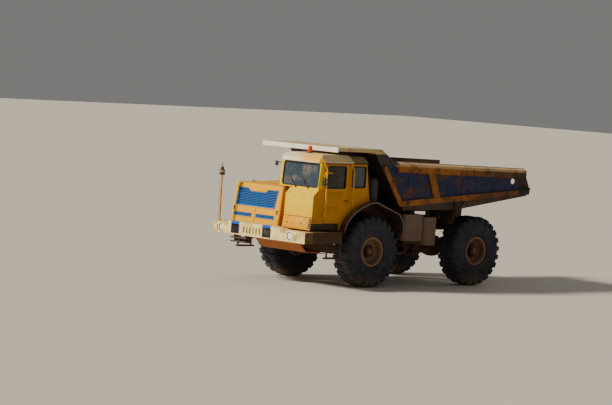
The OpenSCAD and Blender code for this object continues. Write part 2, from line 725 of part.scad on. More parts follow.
// A window between two corners, with round corners, grown by g
module window(a, b, r, g) {
    square_up = [[a.x, a.y], [b.x, a.y], [b.x, b.y], [a.x, b.y]];
    polygon(rounded(inset(square_up, -g), [r, r, r, r], 4));
}
module shield_outline(g = 0) { window([cab_top_x0 + 85, shield_z0], [cab_x1 - 75, shield_z1], 60, g); }
module quarter_outline(g = 0) { window([quarter_y0, window_low_z + 25], [quarter_y1, window_top_z], 35, g); }
module right_window_outline(g = 0) { window([-1520, sill_z], [-650, window_top_z], 40, g); }
module rear_window_outline(g = 0) { window([cab_top_x0 + 150, sill_z + 10], [cab_x1 - 170, 2850], 40, g); }

module cab_shell() {
    color(cab_yellow) at_front() difference() {
        cab_block(0);
        // The room inside, open at the roof
        cab_block(cab_t);
        along_x(cab_top_x0 + cab_t, cab_x1 - cab_t) polygon([[brow + cab_t + 2, gutter_z - 60],
            [-cab_back_y - cab_t, gutter_z - 60], [-cab_back_y - cab_t, gutter_z + 10], [brow + cab_t + 2, gutter_z + 10]]);
        along_y(foot - 100, brow + 60) shield_outline();
        along_x(cab_x1 - cab_t - 10, cab_x1 + 10) quarter_outline();
        along_x(cab_top_x0 - 10, cab_top_x0 + cab_t + 10) right_window_outline();
        along_y(-cab_back_y - 150, 50) rear_window_outline();
        along_x(cab_x1 - cab_t - 90, cab_x1 + 10) door_opening(door_gap);
        fender_space(cab_x0 - 10, cab_x1 + 10, 3);
    }
    // Inner wheel arch, which closes the cab over the fender
    color(cab_yellow) at_front() intersection() {
        fender_space(cab_x0 + 1, cab_x1 - 1, 3 + cab_t);
        difference() {
            along_x(cab_x0 + 1, cab_x1 - 1) cab_side_outline(1);
            fender_space(cab_x0 - 10, cab_x1 + 10, 3);
            along_x(cab_x1 - cab_t - 90, cab_x1 + 10) door_opening(door_gap);
        }
    }
    // Seat platform over the arch
    color(cab_yellow) at_front() difference() {
        block([cab_x0 + cab_t - 1, -1090, cab_floor_z + 40], [cab_x1 - cab_t - 60, -690, seat_floor_z]);
        fender_space(cab_x0 - 10, cab_x1 + 10, 3 + cab_t - 1);
    }
    // Door hinge barrels on the front post
    color(cab_yellow) at_front() for (z = door_hinge_zs) translate([cab_x1 + hinge_out, hinge_y_off, z - 70]) difference() {
        union() {
            cylinder(r = door_pin_r + 10, h = 60);
            translate([-hinge_out - 9, -40, 0]) cube([hinge_out + 9, 36, 60]);
        }
        translate([0, 0, -1]) cylinder(r = door_pin_r + pin_gap, h = 62);
    }
}

roof_top = gutter_z + roof_rise;
roof_step_y = -652;
module cab_roof() {
    low = gutter_z + seat_gap;
    x0 = cab_top_x0;
    x1 = cab_x1;
    back = -cab_back_y + 25;
    rear_top = roof_top - 28;
    color(cream) at_front() difference() {
        union() {
            // Front part, whose eaves stand out over the door
            intersection() {
                along_y(brow - 60, roof_step_y + 10) polygon([[x0 - 5, low], [x1 + 25, low], [x1 + 25, gutter_z + 32],
                    [x1 - 90, roof_top], [x0 + 120, roof_top], [x0 - 5, gutter_z + 95]]);
                along_x(x0 - 10, x1 + 60) polygon([[brow - 45, low], [roof_step_y, low], [roof_step_y, gutter_z + 32],
                    [roof_step_y - 119, roof_top], [brow + 90, roof_top], [brow - 30, gutter_z + 95]]);
                translate([0, 0, gutter_z]) linear_extrude(roof_rise + 10) polygon([[x0 + 60, brow - 60], [x1 - 80, brow - 60],
                    [x1 + 40, brow + 90], [x1 + 40, back], [x0 - 10, back], [x0 - 10, brow]]);
            }
            // Rear part, a little lower and narrower
            intersection() {
                along_y(roof_step_y - 130, back + 10) polygon([[x0 + 10, low], [x1 + 4, low], [x1 + 4, gutter_z + 30],
                    [x1 - 112, rear_top], [x0 + 140, rear_top], [x0 + 10, gutter_z + 92]]);
                along_x(x0 - 10, x1 + 60) polygon([[roof_step_y - 140, low], [back, low], [back, gutter_z + 50],
                    [back - 60, rear_top + 1], [roof_step_y - 140, rear_top + 1]]);
            }
        }
        // Hollow underneath
        along_y(brow + cab_t + 10, -cab_back_y - cab_t - 10) polygon([[x0 + cab_t + 5, gutter_z - 1],
            [x1 - cab_t - 5, gutter_z - 1], [x1 - 145, roof_top - 65], [x0 + 175, roof_top - 65], [x0 + cab_t + 5, gutter_z + 45]]);
    }
}

module cab_glass() {
    color(glass_tint) at_front() {
        // Windshield
        intersection() {
            along_y(foot - 100, brow + 100) shield_outline(-seat_gap);
            along_x(cab_top_x0, cab_x1) difference() {
                cab_side_outline(18);
                cab_side_outline(18 + glass_t);
            }
        }
        along_x(cab_x1 - 26, cab_x1 - 26 + glass_t) quarter_outline(-seat_gap);
        along_x(cab_top_x0 + 20, cab_top_x0 + 20 + glass_t) right_window_outline(-seat_gap);
        intersection() {
            along_y(-cab_back_y - 150, 50) rear_window_outline(-seat_gap);
            along_x(cab_top_x0, cab_x1) difference() {
                cab_side_outline(18);
                cab_side_outline(18 + glass_t);
            }
        }
    }
}

module door_window(g = 0) { window([-door_y0 + 66, window_low_z], [-door_y1 - 118, window_top_z], 40, g); }
module cab_door() {
    t = 38;
    color(cab_yellow) at_front() {
        difference() {
            along_x(cab_x1 - t, cab_x1) door_opening(0);
            along_x(cab_x1 - t - 5, cab_x1 + 5) door_window();
            fender_space(cab_x1 - 200, cab_x1 + 10, 3 + door_gap);
        }
        // Hinge knuckles and pins
        for (z = door_hinge_zs) translate([cab_x1 + hinge_out, hinge_y_off, z]) {
            translate([0, 0, -75]) cylinder(r = door_pin_r, h = 130);
            translate([0, 0, -10 + side_gap]) cylinder(r = door_pin_r + 10, h = 60);
            translate([-hinge_out + side_gap, 0, -10 + side_gap]) cube([18, 70, 60]);
            translate([-hinge_out - 1, 25, -10 + side_gap]) cube([18, 45, 60]);
        }
        // Handle
        translate([cab_x1 - 1, -door_y1 - 130, 2050]) {
            cube([30, 18, 34]);
            translate([0, 82, 0]) cube([30, 18, 34]);
            translate([26, 0, 6]) cube([14, 100, 22]);
        }
    }
}
module door_glass() {
    color(glass_tint) at_front() along_x(cab_x1 - 25, cab_x1 - 25 + glass_t) door_window(-seat_gap);
}

module seat() {
    x = (cab_x0 + cab_x1) / 2;
    z = seat_floor_z + seat_gap;
    color([0.1, 0.1, 0.11]) at_front() {
        translate([x - 170, -1060, z]) cube([340, 290, 111]);
        along_x(x - 250, x + 250) polygon(rounded([[-1180, z + 110], [-690, z + 110], [-690, z + 225], [-1180, z + 235]], [25, 10, 10, 45], 4));
        along_x(x - 235, x + 235) polygon(rounded([[-720, z + 215], [-610, z + 215], [-520, z + 790], [-610, z + 800]], [10, 30, 40, 45], 4));
    }
}
seat_floor_z = 1840;

module steering_column() {
    x = (cab_x0 + cab_x1) / 2;
    lining = inset(cab_side, cab_t + seat_gap);
    top = lining[6] + 0.8 * (lining[5] - lining[6]);
    low = lining[7] + 0.55 * (lining[6] - lining[7]);
    color(dark_steel) at_front() {
        // Dashboard
        along_x(nose_x0 + cab_t + seat_gap, cab_x1 - cab_t - 60) polygon([low, low + [160, 0],
            [top.x + 130, top.y - 40], [top.x + 120, top.y + 15], top, lining[6]]);
        // Column and wheel
        translate([x, low.x + 110, low.y + 60]) rotate([-38, 0, 0]) {
            cylinder(r = 30, h = 480);
            translate([0, 0, 470]) rotate_extrude($fn = 40) translate([210, 0]) circle(r = 15, $fn = 16);
            for (a = [90, 210, 330]) rotate([0, 0, a]) translate([0, 0, 470]) rotate([0, 90, 0])
                cylinder(r = 11, h = 205, $fn = 16);
        }
    }
}

wiper_xs = [cab_top_x0 + 590, cab_top_x0 + 1020];
module wipers() {
    color(dark_steel) at_front() for (x = wiper_xs) {
        translate([x, ledge_y - 8 - seat_gap, ledge_z + 15]) {
            translate([-14, -12, -14]) cube([28, 20, 28]);
            rotate([0, -45, 0]) translate([-8, -9, 0]) cube([16, 9, 150]);
        }
    }
}

// Fenders: the lip's outline from the front foot round the rear foot and back over the crown
fender_line = [[-977, 1300], [1010, 1060], [1010, 1395], [975, 1600], [837, 1783], [417, 1935],
    [60, fender_top_z - 2], [-130, fender_top_z - 20], [-451, fender_top_z - 142], [-640, fender_top_z - 245],
    [-790, fender_top_z - 370], [-930, fender_top_z - 560], [-977, fender_top_z - 700]];
fender_x0 = 1060;
wheel_clear_z = tyre_od + 35;
function fender_slope_z(y) = fender_top_z - 2 - (y - 60) * (fender_top_z - 2 - 1935) / (417 - 60);
module front_fenders() {
    in = inset(fender_line, fender_t);
    room = concat([[in[0].x, 900], [in[1].x, 900]], [for (i = [2:len(in) - 1]) in[i]]);
    color(brown_steel) at_front() both_sides() {
        difference() {
            along_x(fender_x0, fender_x) polygon(fender_line);
            along_x(fender_x0 - 10, fender_x + 10) polygon(room);
            // The rear foot tapers to a flap, which leaves the steered tyre its room
            block([fender_x0 - 10, 700, 900], [fender_x0 + 190, 1200, 1400]);
            along_y(700, 1200) polygon([[fender_x + 10, 1400], [fender_x, 1400], [fender_x - 290, 1050], [fender_x + 10, 1050]]);
        }
        // Inner panel between the fender and the top of the tyre
        along_x(fender_x0, fender_x0 + 12) polygon([[-700, wheel_clear_z], [780, wheel_clear_z], [780, 1860], [417, 1925], [60, fender_top_z - 12],
                [-130, fender_top_z - 30], [-451, fender_top_z - 152], [-640, fender_top_z - 255]]);
        // Bracket to the frame
        along_y(985, 1005) polygon([[rail_x1 + seat_gap, 1230], [fender_x0 + 1, 1470], [fender_x0 + 1, 1560], [rail_x1 + seat_gap, 1320]]);
    }
}

module side_steps() {
    x0 = cab_x1 - 420;
    color(brown_steel) at_front() both_sides() {
        difference() {
            block([x0, -front_overhang + bumper_depth + seat_gap, bumper_z0], [bumper_w / 2, -1075, bumper_z1]);
            block([x0 - 10, -front_overhang + bumper_depth - 10, bumper_z0 - 10], [bumper_w / 2 - 20, -1075 - 20, bumper_z1 - 20]);
        }
        // Hanging step
        translate([bumper_w / 2, 0, 0]) {
            for (y = [-1530, -1105]) block([-60, y, ladder_z], [-35, y + 40, bumper_z0 + 60]);
            block([-120, -1560, ladder_z], [-20, -1030, ladder_z + 35]);
            block([-110, -1540, ladder_z + 190], [-34, -1056, ladder_z + 215]);
        }
    }
    // Risers from the decks to the cab and to the hood
    color(brown_steel) at_front() {
        block([x0, foot + 60, bumper_z1 - 1], [cab_x1 - 120, -1100, cab_floor_z - seat_gap]);
        block([hood_x0 + 30, -hood_front_y + 90, bumper_z1 - 1], [-x0, -1100, hood_bottom_z - seat_gap]);
    }
}

// Bumper and what it carries

bumper_face = -front_overhang;
lamp_x = [-bumper_w / 2 + 288, bumper_w / 2 - 535];
lamp_z = 1205;
fog_x = [-850, 285];
fog_z = 1195;
vent_xs = [for (i = [0:5]) -531 + i * 112];
// Short slots along the top of each wing, from its headlamp
comb_xs = [[-235, -195, 125, 170, 215], [-310, -265, -220, -175, -130]];
module front_bumper() {
    crown = bumper_z1 + 50;
    w = bumper_w / 2;
    color(cream) at_front() difference() {
        union() {
            along_y(bumper_face, bumper_face + bumper_depth) polygon([[-w, bumper_z0], [w, bumper_z0], [w, bumper_z1],
                [880, bumper_z1], [440, crown], [-w + 560, crown], [-w + 360, bumper_z1], [-w, bumper_z1]]);
        }
        // Hollow behind the face
        translate([0, 0, bumper_z0 + bumper_t]) block([-w + bumper_t, bumper_face + bumper_t, 0],
            [w - bumper_t, bumper_face + bumper_depth + 10, bumper_z1 - bumper_z0 - 2 * bumper_t]);
        for (x = lamp_x) translate([x, bumper_face - 10, lamp_z]) rotate([-90, 0, 0]) cylinder(r = 98, h = 60);
        for (x = fog_x) block([x - 150, bumper_face - 10, fog_z - 105], [x + 150, bumper_face + 111, crown + 10]);
        for (x = vent_xs) block([x - 19, bumper_face - 10, lamp_z - 75], [x + 19, bumper_face + 60, lamp_z + 75]);
        for (x = [lamp_x[0] - 150, lamp_x[1] + 165, lamp_x[1] + 230])
            block([x - 14, bumper_face - 10, lamp_z - 90], [x + 14, bumper_face + 60, lamp_z + 45]);
        // Comb of short slots along the top of each wing
        for (i = [0, 1]) for (x = comb_xs[i]) block([lamp_x[i] + x - 9, bumper_face - 10, bumper_z1 - 75],
            [lamp_x[i] + x + 9, bumper_face + 70, bumper_z1 + 10]);
    }
}
module lamps() {
    color([0.85, 0.86, 0.86]) at_front() {
        // Headlamps
        for (x = lamp_x) translate([x, bumper_face, lamp_z]) rotate([-90, 0, 0])
            rotate_extrude($fn = 40) polygon([[0, 6], [60, 10], [80, 14], [88, 1], [97, 1], [97, 40], [70, 90], [0, 100]]);
        // Lamps in square housings
        for (x = fog_x) {
            difference() {
                block([x - 150 + seat_gap, bumper_face, fog_z - 105 + seat_gap], [x + 150 - seat_gap, bumper_face + 110, bumper_z1 + 49]);
                block([x - 125, bumper_face - 20, fog_z - 85], [x + 125, bumper_face + 20, fog_z + 85]);
            }
        }
    }
}
module tow_hitch() {
    x = -730;
    color(dark_steel) at_front() {
        difference() {
            union() {
                for (z = [900, 990]) block([x - 290, bumper_face + 10, z - 16], [x + 290, bumper_face + 200, z + 16]);
                block([x - 270, bumper_face + 120, 884], [x + 270, bumper_face + 200, 1006]);
                for (s = [-1, 1]) block([x + s * 200 - 25, bumper_face + 60, 1005], [x + s * 200 + 25, bumper_face + 180, bumper_z0 - seat_gap]);
            }
            translate([x, bumper_face + 60, 850]) cylinder(r = hitch_pin_r, h = 200);
        }
    }
}
module sump_guard() {
    color([0.50, 0.27, 0.10]) at_front() {
        along_x(-430, 1150) polygon([[bumper_face + 90, bumper_z0 - 21], [-1960, bumper_z0 - 55], [-1760, 812], [-1150, 779], [-1150, 800],
            [-1750, 835], [-1940, bumper_z0 - 40], [-rail_end - 20, bumper_z0 - seat_gap], [bumper_face + 90, bumper_z0 - seat_gap]]);
        // Hangers from the frame rails
        for (s = [-1, 1]) block([s * 400 - 30, -1300, 795], [s * 400 + 30, -1220, rail_top_z - rail_front_h - seat_gap]);
    }
}

module marker_pole() {
    x = -bumper_w / 2 + 85;
    color(ochre) at_front() {
        translate([x, bumper_face + 90, bumper_z1 + seat_gap]) {
            cylinder(r = 60, h = 14);
            cylinder(r = 24, h = 1120);
            translate([0, 0, 1110]) cylinder(r1 = 34, r2 = 70, h = 30);
            translate([0, 0, 1139]) cylinder(r = 70, h = 85);
            translate([0, 0, 1223]) cylinder(r1 = 80, r2 = 45, h = 75);
            translate([0, 0, 1297]) cylinder(r = 45, h = 25);
            translate([0, 0, 1321]) cylinder(r = 8, h = 85);
        }
    }
}
module beacon() {
    color([0.85, 0.25, 0.03]) at_front() translate([cab_top_x0 + 640, brow + 280, roof_top + seat_gap])
        rotate_extrude($fn = 40)
        polygon([[0, 0], [66, 0], [66, 24], [58, 28], [58, 120], [50, 154], [30, 172], [0, 176]]);
}
// A round bar from a to b
module bar(a, b, r) {
    d = b - a;
    translate(a) rotate([0, acos(d.z / norm(d)), atan2(d.y, d.x)]) cylinder(r = r, h = norm(d), $fn = 24);
    translate(b) sphere(r = r, $fn = 24);
}
module handrails() {
    r = 14;
    front = [cab_x1 + 100, -door_y0 - 50];
    rear = [cab_x1 + 80, quarter_y0 - 20];
    color(cab_yellow) at_front() {
        // Front and rear rails with their stubs
        for (z = [1650, 2870]) bar_x(cab_x1 + seat_gap, front.x, front.y, z, r - 3);
        bar([front.x, front.y, 1640], [front.x, front.y, 2885], r);
        for (z = [1985, 2870]) bar_x(cab_x1 + seat_gap, rear.x, rear.y, z, r - 3);
        bar([rear.x, rear.y, 1960], [rear.x, rear.y, 2885], r);
        // Small mirror on the front rail
        for (z = [2460, 2570]) block([front.x - 8, front.y - 90, z], [front.x + 8, front.y, z + 16]);
        block([front.x - 55, front.y - 108, 2420], [front.x + 55, front.y - 88, 2610]);
        // Small mirror at the cab's right
        block([cab_top_x0 - 300, brow + 60, 2862], [cab_top_x0 - seat_gap, brow + 80, 2882]);
        block([cab_top_x0 - 310, brow + 42, 2780], [cab_top_x0 - 200, brow + 61, 2900]);
    }
}

// Tanks and air cleaner

module tank(y, len, z1, h) {
    x0 = tank_x - tank_w;
    p = [[x0, y], [tank_x, y], [tank_x, y + len], [x0, y + len]];
    translate([0, 0, z1 - h]) linear_extrude(h) polygon(rounded(p, [40, 110, 110, 40]));
}
module fuel_tank() { color(brown_steel) at_front() both_sides() tank(tank_y, fuel_len, fuel_top_z, fuel_h); }
module oil_tank() {
    y = tank_y + fuel_len + 12;
    color(brown_steel) at_front() {
        tank(y, oil_len, fuel_top_z - 68, oil_h);
        block([rail_x1 + seat_gap, y + 168, rail_top_z - 120], [tank_x - tank_w + 1, y + 248, rail_top_z - 20]);
    }
}
module air_cleaner() {
    x = 1280;
    y = 180;
    color([0.62, 0.62, 0.60]) at_front() {
        translate([x, y, fender_top_z + 5]) cylinder(r = 125, h = 480);
        translate([x, y, fender_top_z + 484]) cylinder(r1 = 125, r2 = 60, h = 60);
        along_x(x - 60, x + 60) polygon([[y - 60, fender_slope_z(y - 60) + seat_gap], [y + 60, fender_slope_z(y + 60) + seat_gap],
            [y + 60, fender_top_z + 6], [y - 60, fender_top_z + 6]]);
    }
}

// Bed

tail_y = wheelbase + rear_overhang;
bed_slope = (tail_z - bed_z) / (tail_y - 36 - bed_front_y);
function bed_low(y) = bed_z + bed_slope * (y - bed_front_y);
rim_y0 = 695;
rim_y1 = tail_y - 190;
function rim_z(y) = rim_front_z + (rim_rear_z - rim_front_z) * (y - rim_y0) / (rim_y1 - rim_y0);
wing_y = 182;
wing_z = canopy_z - 40;
front_lean = 0.70;
function front_wall_y(z) = bed_front_y - front_lean * (z - bed_z);
runner_z = rail_rear_z + 160;
panel_x = bed_x - post_out;
bed_side = [[bed_front_y, bed_z], [tail_y - 36, tail_z], [tail_y, tail_z + 169], [rim_y1, rim_rear_z], [rim_y0, rim_front_z],
    [wing_y, wing_z], [front_wall_y(wing_z), wing_z]];

// A strip between two side points, w wide below or behind the line
module strip(a, b, w) {
    n = left_of(unit(b - a)) * w;
    polygon([a, b, b + n, a + n]);
}
module bed() {
    color(bed_blue) at_front() {
        difference() {
            union() {
                both_sides() bed_side_parts();
                bed_floor();
                bed_canopy();
            }
            both_sides() bar_x(panel_x - 60, bed_x + 20, tail_y - 620, rim_rear_z - 220, lift_hole_d / 2);
        }
        both_sides() bed_under();
    }
}
module bed_side_parts() {
    // Panel
    along_x(panel_x - bed_t, panel_x) polygon(bed_side);
    // Top rail and bottom rail
    along_x(panel_x - 1, bed_x) {
        strip([rim_y1, rim_rear_z], [rim_y0, rim_front_z], top_rail_h);
        strip([bed_front_y, bed_z], [tail_y - 36, tail_z], low_rail_h);
    }
    // Sloped coping above the rim, which throws what falls on it inwards
    coping([rim_y0, rim_front_z], [rim_y1, rim_rear_z], bed_x);
    // Front post, mid post and the wing's edge
    along_x(panel_x - 1, bed_x - 12) {
        strip([bed_front_y - 2, bed_z], [front_wall_y(rim_front_z - 60), rim_front_z - 60], -120);
        strip([2020, bed_low(2020)], [1700, rim_z(1700) - 20], -210);
        strip([tail_y - 36, tail_z], [tail_y, tail_z + 169], 90);
    }
    along_x(panel_x - 1, bed_x - 30) strip([rim_y0 + 6, rim_front_z - 8], [wing_y + 6, wing_z - 8], 60);
}
// A long strip whose section leans inwards and up, from point a to point b of a side view
module coping(a, b, x) {
    d = b - a;
    translate([0, a.x, a.y]) rotate([atan2(d.y, d.x), 0, 0]) rotate([-90, 0, 0]) linear_extrude(norm(d))
        polygon([[x, -50], [x - 118, -105], [x - 140, -105], [x - 140, 118], [x - 112, 118], [x, 8]]);
}
module bed_floor() {
    // Floor plate
    along_x(-panel_x, panel_x) polygon([[bed_front_y, bed_z], [tail_y - 36, tail_z], [tail_y - 36, tail_z + bed_t],
        [bed_front_y, bed_z + bed_t]]);
    // Front wall
    along_x(-panel_x, panel_x) polygon([[bed_front_y, bed_z], [bed_front_y + 30, bed_z],
        [front_wall_y(canopy_z - 30) + 30, canopy_z - 30], [front_wall_y(canopy_z - 30), canopy_z - 30]]);
}
module bed_canopy() {
    y0 = -canopy_y;
    back = front_wall_y(canopy_z - 30);
    side_h = canopy_h - 27;
    plan = [[-canopy_x, y0], [canopy_x, y0], [panel_x, wing_y], [-panel_x, wing_y]];
    // Deck plate
    translate([0, 0, canopy_z - bed_t]) linear_extrude(bed_t) polygon(plan);
    // Flange round the edge
    translate([0, 0, canopy_z - canopy_h]) linear_extrude(canopy_h)
        polygon([plan[0], plan[1], plan[1] + [0, 25], plan[0] + [0, 25]]);
    translate([0, 0, canopy_z - side_h]) linear_extrude(side_h)
        both_sides_2d() polygon([plan[1], plan[2], plan[2] - [25, 0], plan[1] - [25, 0]]);
    // Ribs under the deck
    for (x = [-900, -300, 300, 900]) along_x(x - 20, x + 20) polygon([[y0 + 10, canopy_z - 80],
        [back + 60, canopy_z - 120], [back + 20, canopy_z - 10], [y0 + 10, canopy_z - 10]]);
}
module both_sides_2d() { children(); mirror([1, 0]) children(); }

bolster_ys = [1150, 1750, 2500, 3480, 4050, 4800];
girder_x = panel_x - 90;
girder_top_y = 2900;
function girder_low(y) = bed_low(y) - (y < girder_top_y ? 100 + 110 * (y - 1000) / (girder_top_y - 1000)
    : 210 - 172 * (y - girder_top_y) / (tail_y - 60 - girder_top_y));
module bed_under() {
    // Cross bolsters under the floor
    for (y = bolster_ys) along_x(0, girder_x + 1) polygon([[y, bed_low(y) + 1], [y, bed_low(y) - (y > 4500 ? 50 : 95)],
        [y + 130, bed_low(y + 130) - (y > 4500 ? 50 : 95)], [y + 130, bed_low(y + 130) + 1]]);
    // Long girder inside the panel's foot
    along_x(girder_x, girder_x + 60) polygon([[1000, bed_low(1000) + 1], [1000, girder_low(1000)],
        [girder_top_y, girder_low(girder_top_y)], [tail_y - 60, girder_low(tail_y - 60)], [tail_y - 60, bed_low(tail_y - 60) + 1]]);
    // Runner over the frame rail
    along_x(rail_x0 + 5, rail_x1 - 5) polygon([[bed_front_y + 60, bed_low(bed_front_y + 60) + 1],
        [bed_front_y + 160, runner_z + 60], [bed_front_y + 420, runner_z], [hinge_at - 420, runner_z],
        [hinge_at + 150, runner_z + 260], [hinge_at + 420, bed_low(hinge_at + 420) + 1]]);
    // Ear and hinge pin
    along_x(rail_x1 + side_gap, rail_x1 + side_gap + 55) polygon(ear_points);
    bar_x(rail_x0 - 10, rail_x1 + side_gap + 60, hinge_at, hinge_z, hinge_pin_r);
    bar_x(rail_x0 - 24, rail_x0 - side_gap, hinge_at, hinge_z, hinge_pin_r + 20);
    block([rail_x1 - 30, hinge_at - 100, bed_low(hinge_at) - 120],
        [rail_x1 + side_gap + 55, hinge_at + 160, bed_low(hinge_at - 100) + 1]);
    // Ears for the hoist's eye
    e = wheelbase - hoist_eye_y;
    for (x = [hoist_x - 75 - side_gap - 40, hoist_x + 75 + side_gap]) along_x(x, x + 40) polygon([
        [e - 190, bed_low(e - 190) + 1], [e - 75, hoist_eye_z - 40], [e, hoist_eye_z - 80], [e + 75, hoist_eye_z - 40],
        [e + 190, bed_low(e + 190) + 1]]);
    // Mud plate ahead of the rear tyre, with its stay
    along_y(guard_y, guard_y + 14) polygon([[guard_x0, bed_low(guard_y) + 2], [panel_x + 20, bed_low(guard_y) + 2],
        [panel_x, 1640], [panel_x - 60, 1540], [guard_x0 + 60, 1540], [guard_x0, 1640]]);
    along_x(panel_x - 25, panel_x - 5) polygon([[guard_y + 10, 1760], [guard_y + 10, 1720],
        [guard_y + 420, bed_low(guard_y + 420) + 2], [guard_y + 380, bed_low(guard_y + 380) + 2]]);
}
guard_y = wheelbase - 830;
guard_x0 = 1060;
ear_points = [for (a = [200:20:340]) [hinge_at + 95 * cos(a), hinge_z + 95 * sin(a)], [hinge_at + 150, bed_low(hinge_at + 150) + 1],
    [hinge_at - 95, bed_low(hinge_at - 95) + 1]];

// Hoists

hoist_foot = [wheelbase - hoist_foot_y, hoist_foot_z];
hoist_eye = [wheelbase - hoist_eye_y, hoist_eye_z];
hoist_len = norm(hoist_eye - hoist_foot);
hoist_angle = atan2(hoist_eye.y - hoist_foot.y, hoist_eye.x - hoist_foot.x);
barrel_len = hoist_len - 150;
module on_hoist() {
    translate([hoist_x, front_y + hoist_foot.x, hoist_foot.y]) rotate([hoist_angle - 90, 0, 0]) children();
}
module hoist_barrel() {
    color(dark_steel) on_hoist() difference() {
        union() {
            bar_x(-60, 60, 0, 0, 78);
            translate([0, 0, 72]) cylinder(r = barrel_r, h = barrel_len - 72);
            translate([0, 0, barrel_len - 70]) cylinder(r = barrel_r + 8, h = 70);
        }
        bar_x(-70, 70, 0, 0, hoist_pin_r + pin_gap);
        translate([0, 0, 140]) cylinder(r = rod_r + 18, h = barrel_len - 140 - 80);
        translate([0, 0, 200]) cylinder(r = rod_r + pin_gap, h = barrel_len);
    }
}
module hoist_rod() {
    color([0.7, 0.7, 0.72]) on_hoist() {
        translate([0, 0, 170]) cylinder(r = rod_r, h = hoist_len - 170 - 20);
        bar_x(-72, 72, 0, hoist_len, 68);
    }
}
module hoist_barrel_l() { hoist_barrel(); }
module hoist_barrel_r() { mirror([1, 0, 0]) hoist_barrel(); }
module hoist_rod_l() { hoist_rod(); }
module hoist_rod_r() { mirror([1, 0, 0]) hoist_rod(); }

frame();
front_bumper();
lamps();
tow_hitch();
sump_guard();
hood();
grille();
radiator();
engine();
transmission();
cab_shell();
cab_roof();
cab_glass();
cab_door();
door_glass();
seat();
steering_column();
wipers();
handrails();
beacon();
marker_pole();
front_fenders();
side_steps();
front_axle();
knuckle_l();
knuckle_r();
tie_rod();
rim_fl();
rim_fr();
rim_rl();
rim_rr();
tyre_fl();
tyre_fr();
tyre_rl();
tyre_rr();
rear_axle();
suspension();
fuel_tank();
oil_tank();
air_cleaner();
bed();
hoist_barrel_l();
hoist_barrel_r();
hoist_rod_l();
hoist_rod_r();
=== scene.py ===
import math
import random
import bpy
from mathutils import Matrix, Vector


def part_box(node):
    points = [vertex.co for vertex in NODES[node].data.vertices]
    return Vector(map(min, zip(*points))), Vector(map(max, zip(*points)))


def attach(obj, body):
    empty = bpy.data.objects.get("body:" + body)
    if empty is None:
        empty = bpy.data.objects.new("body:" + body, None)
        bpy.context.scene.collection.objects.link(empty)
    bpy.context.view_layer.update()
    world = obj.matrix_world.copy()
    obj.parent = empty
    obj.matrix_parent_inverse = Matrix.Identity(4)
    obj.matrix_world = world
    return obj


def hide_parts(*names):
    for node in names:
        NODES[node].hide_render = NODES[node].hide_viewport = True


bl_info = {
    "name": "Mining Dump Truck",
    "version": (1, 0, 0),
    "blender": (4, 5, 0),
    "location": "3D View > Sidebar > Dump Truck",
    "description": "Dresses the packed dump truck with its detailed pieces and worn finishes",
    "category": "Object",
}

import bmesh
import bpy
from bpy.props import FloatProperty, FloatVectorProperty, IntProperty, PointerProperty
from bpy.types import Operator, Panel, PropertyGroup
from mathutils import Matrix, Vector

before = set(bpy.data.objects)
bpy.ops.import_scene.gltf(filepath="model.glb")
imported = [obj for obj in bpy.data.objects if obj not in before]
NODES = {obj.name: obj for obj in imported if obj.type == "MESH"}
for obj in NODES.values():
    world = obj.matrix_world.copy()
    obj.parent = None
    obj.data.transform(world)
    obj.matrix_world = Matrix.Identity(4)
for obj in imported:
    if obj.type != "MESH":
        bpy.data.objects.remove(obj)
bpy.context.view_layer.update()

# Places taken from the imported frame, in metres
TYRE_LOW, TYRE_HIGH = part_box("tyre_fl")
WHEEL_X = (TYRE_LOW.x + TYRE_HIGH.x) / 2
FRONT_Y = (TYRE_LOW.y + TYRE_HIGH.y) / 2
HUB_Z = (TYRE_LOW.z + TYRE_HIGH.z) / 2
REAR_Y = sum(corner.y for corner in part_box("tyre_rl")) / 2
TYRE_HALF = (TYRE_HIGH.x - TYRE_LOW.x) / 2
BUMPER_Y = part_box("front_bumper")[0].y
X_AXIS = Vector((1, 0, 0))
Y_AXIS = Vector((0, 1, 0))
Z_AXIS = Vector((0, 0, 1))
WHEELS = (("fl", 1, FRONT_Y), ("fr", -1, FRONT_Y), ("rl", 1, REAR_Y), ("rr", -1, REAR_Y))


def front(x, y, z):
    """A point given from the front axle, x to the left, y rearward, z up."""
    return Vector((x, y + FRONT_Y, z))


def paint(red, green, blue):
    """A screen colour, 0 to 255, as the linear colour a shader takes."""
    def linear(level):
        level /= 255
        return level / 12.92 if level <= 0.04045 else ((level + 0.055) / 1.055) ** 2.4
    return (linear(red), linear(green), linear(blue), 1.0)


DUST = (190, 158, 118)
MUD = (104, 78, 54)
GRIME = (58, 44, 32)
RUST = (112, 58, 26)
BARE = (98, 92, 86)


# Finishes

class Wire:
    """A node's output that takes part in sums, so that a mask reads as plain maths."""

    def __init__(self, finish, socket):
        self.finish = finish
        self.socket = socket

    def math(self, operation, *others, clamp=False):
        settings = {"operation": operation, "use_clamp": clamp}
        return self.finish.node("ShaderNodeMath", settings, (self, *others))

    def __add__(self, other):
        return self.math("ADD", other)

    def __sub__(self, other):
        return self.math("SUBTRACT", other)

    def __rsub__(self, other):
        return self.finish.node("ShaderNodeMath", {"operation": "SUBTRACT"}, (other, self))

    def __mul__(self, other):
        return self.math("MULTIPLY", other)

    __radd__ = __add__
    __rmul__ = __mul__

    def size(self):
        return self.math("ABSOLUTE")

    def most(self, other):
        return self.math("MAXIMUM", other)

    def clipped(self):
        return self.math("ADD", 0.0, clamp=True)

    def rise(self, low, high):
        """0 at low, 1 at high, smooth between them."""
        settings = {"interpolation_type": "SMOOTHSTEP"}
        return self.finish.node("ShaderNodeMapRange", settings, (self, low, high, 0.0, 1.0))

    def inside(self, low, high, soft=0.004):
        """1 between low and high."""
        return self.rise(low - soft, low + soft) * self.rise(high + soft, high - soft)


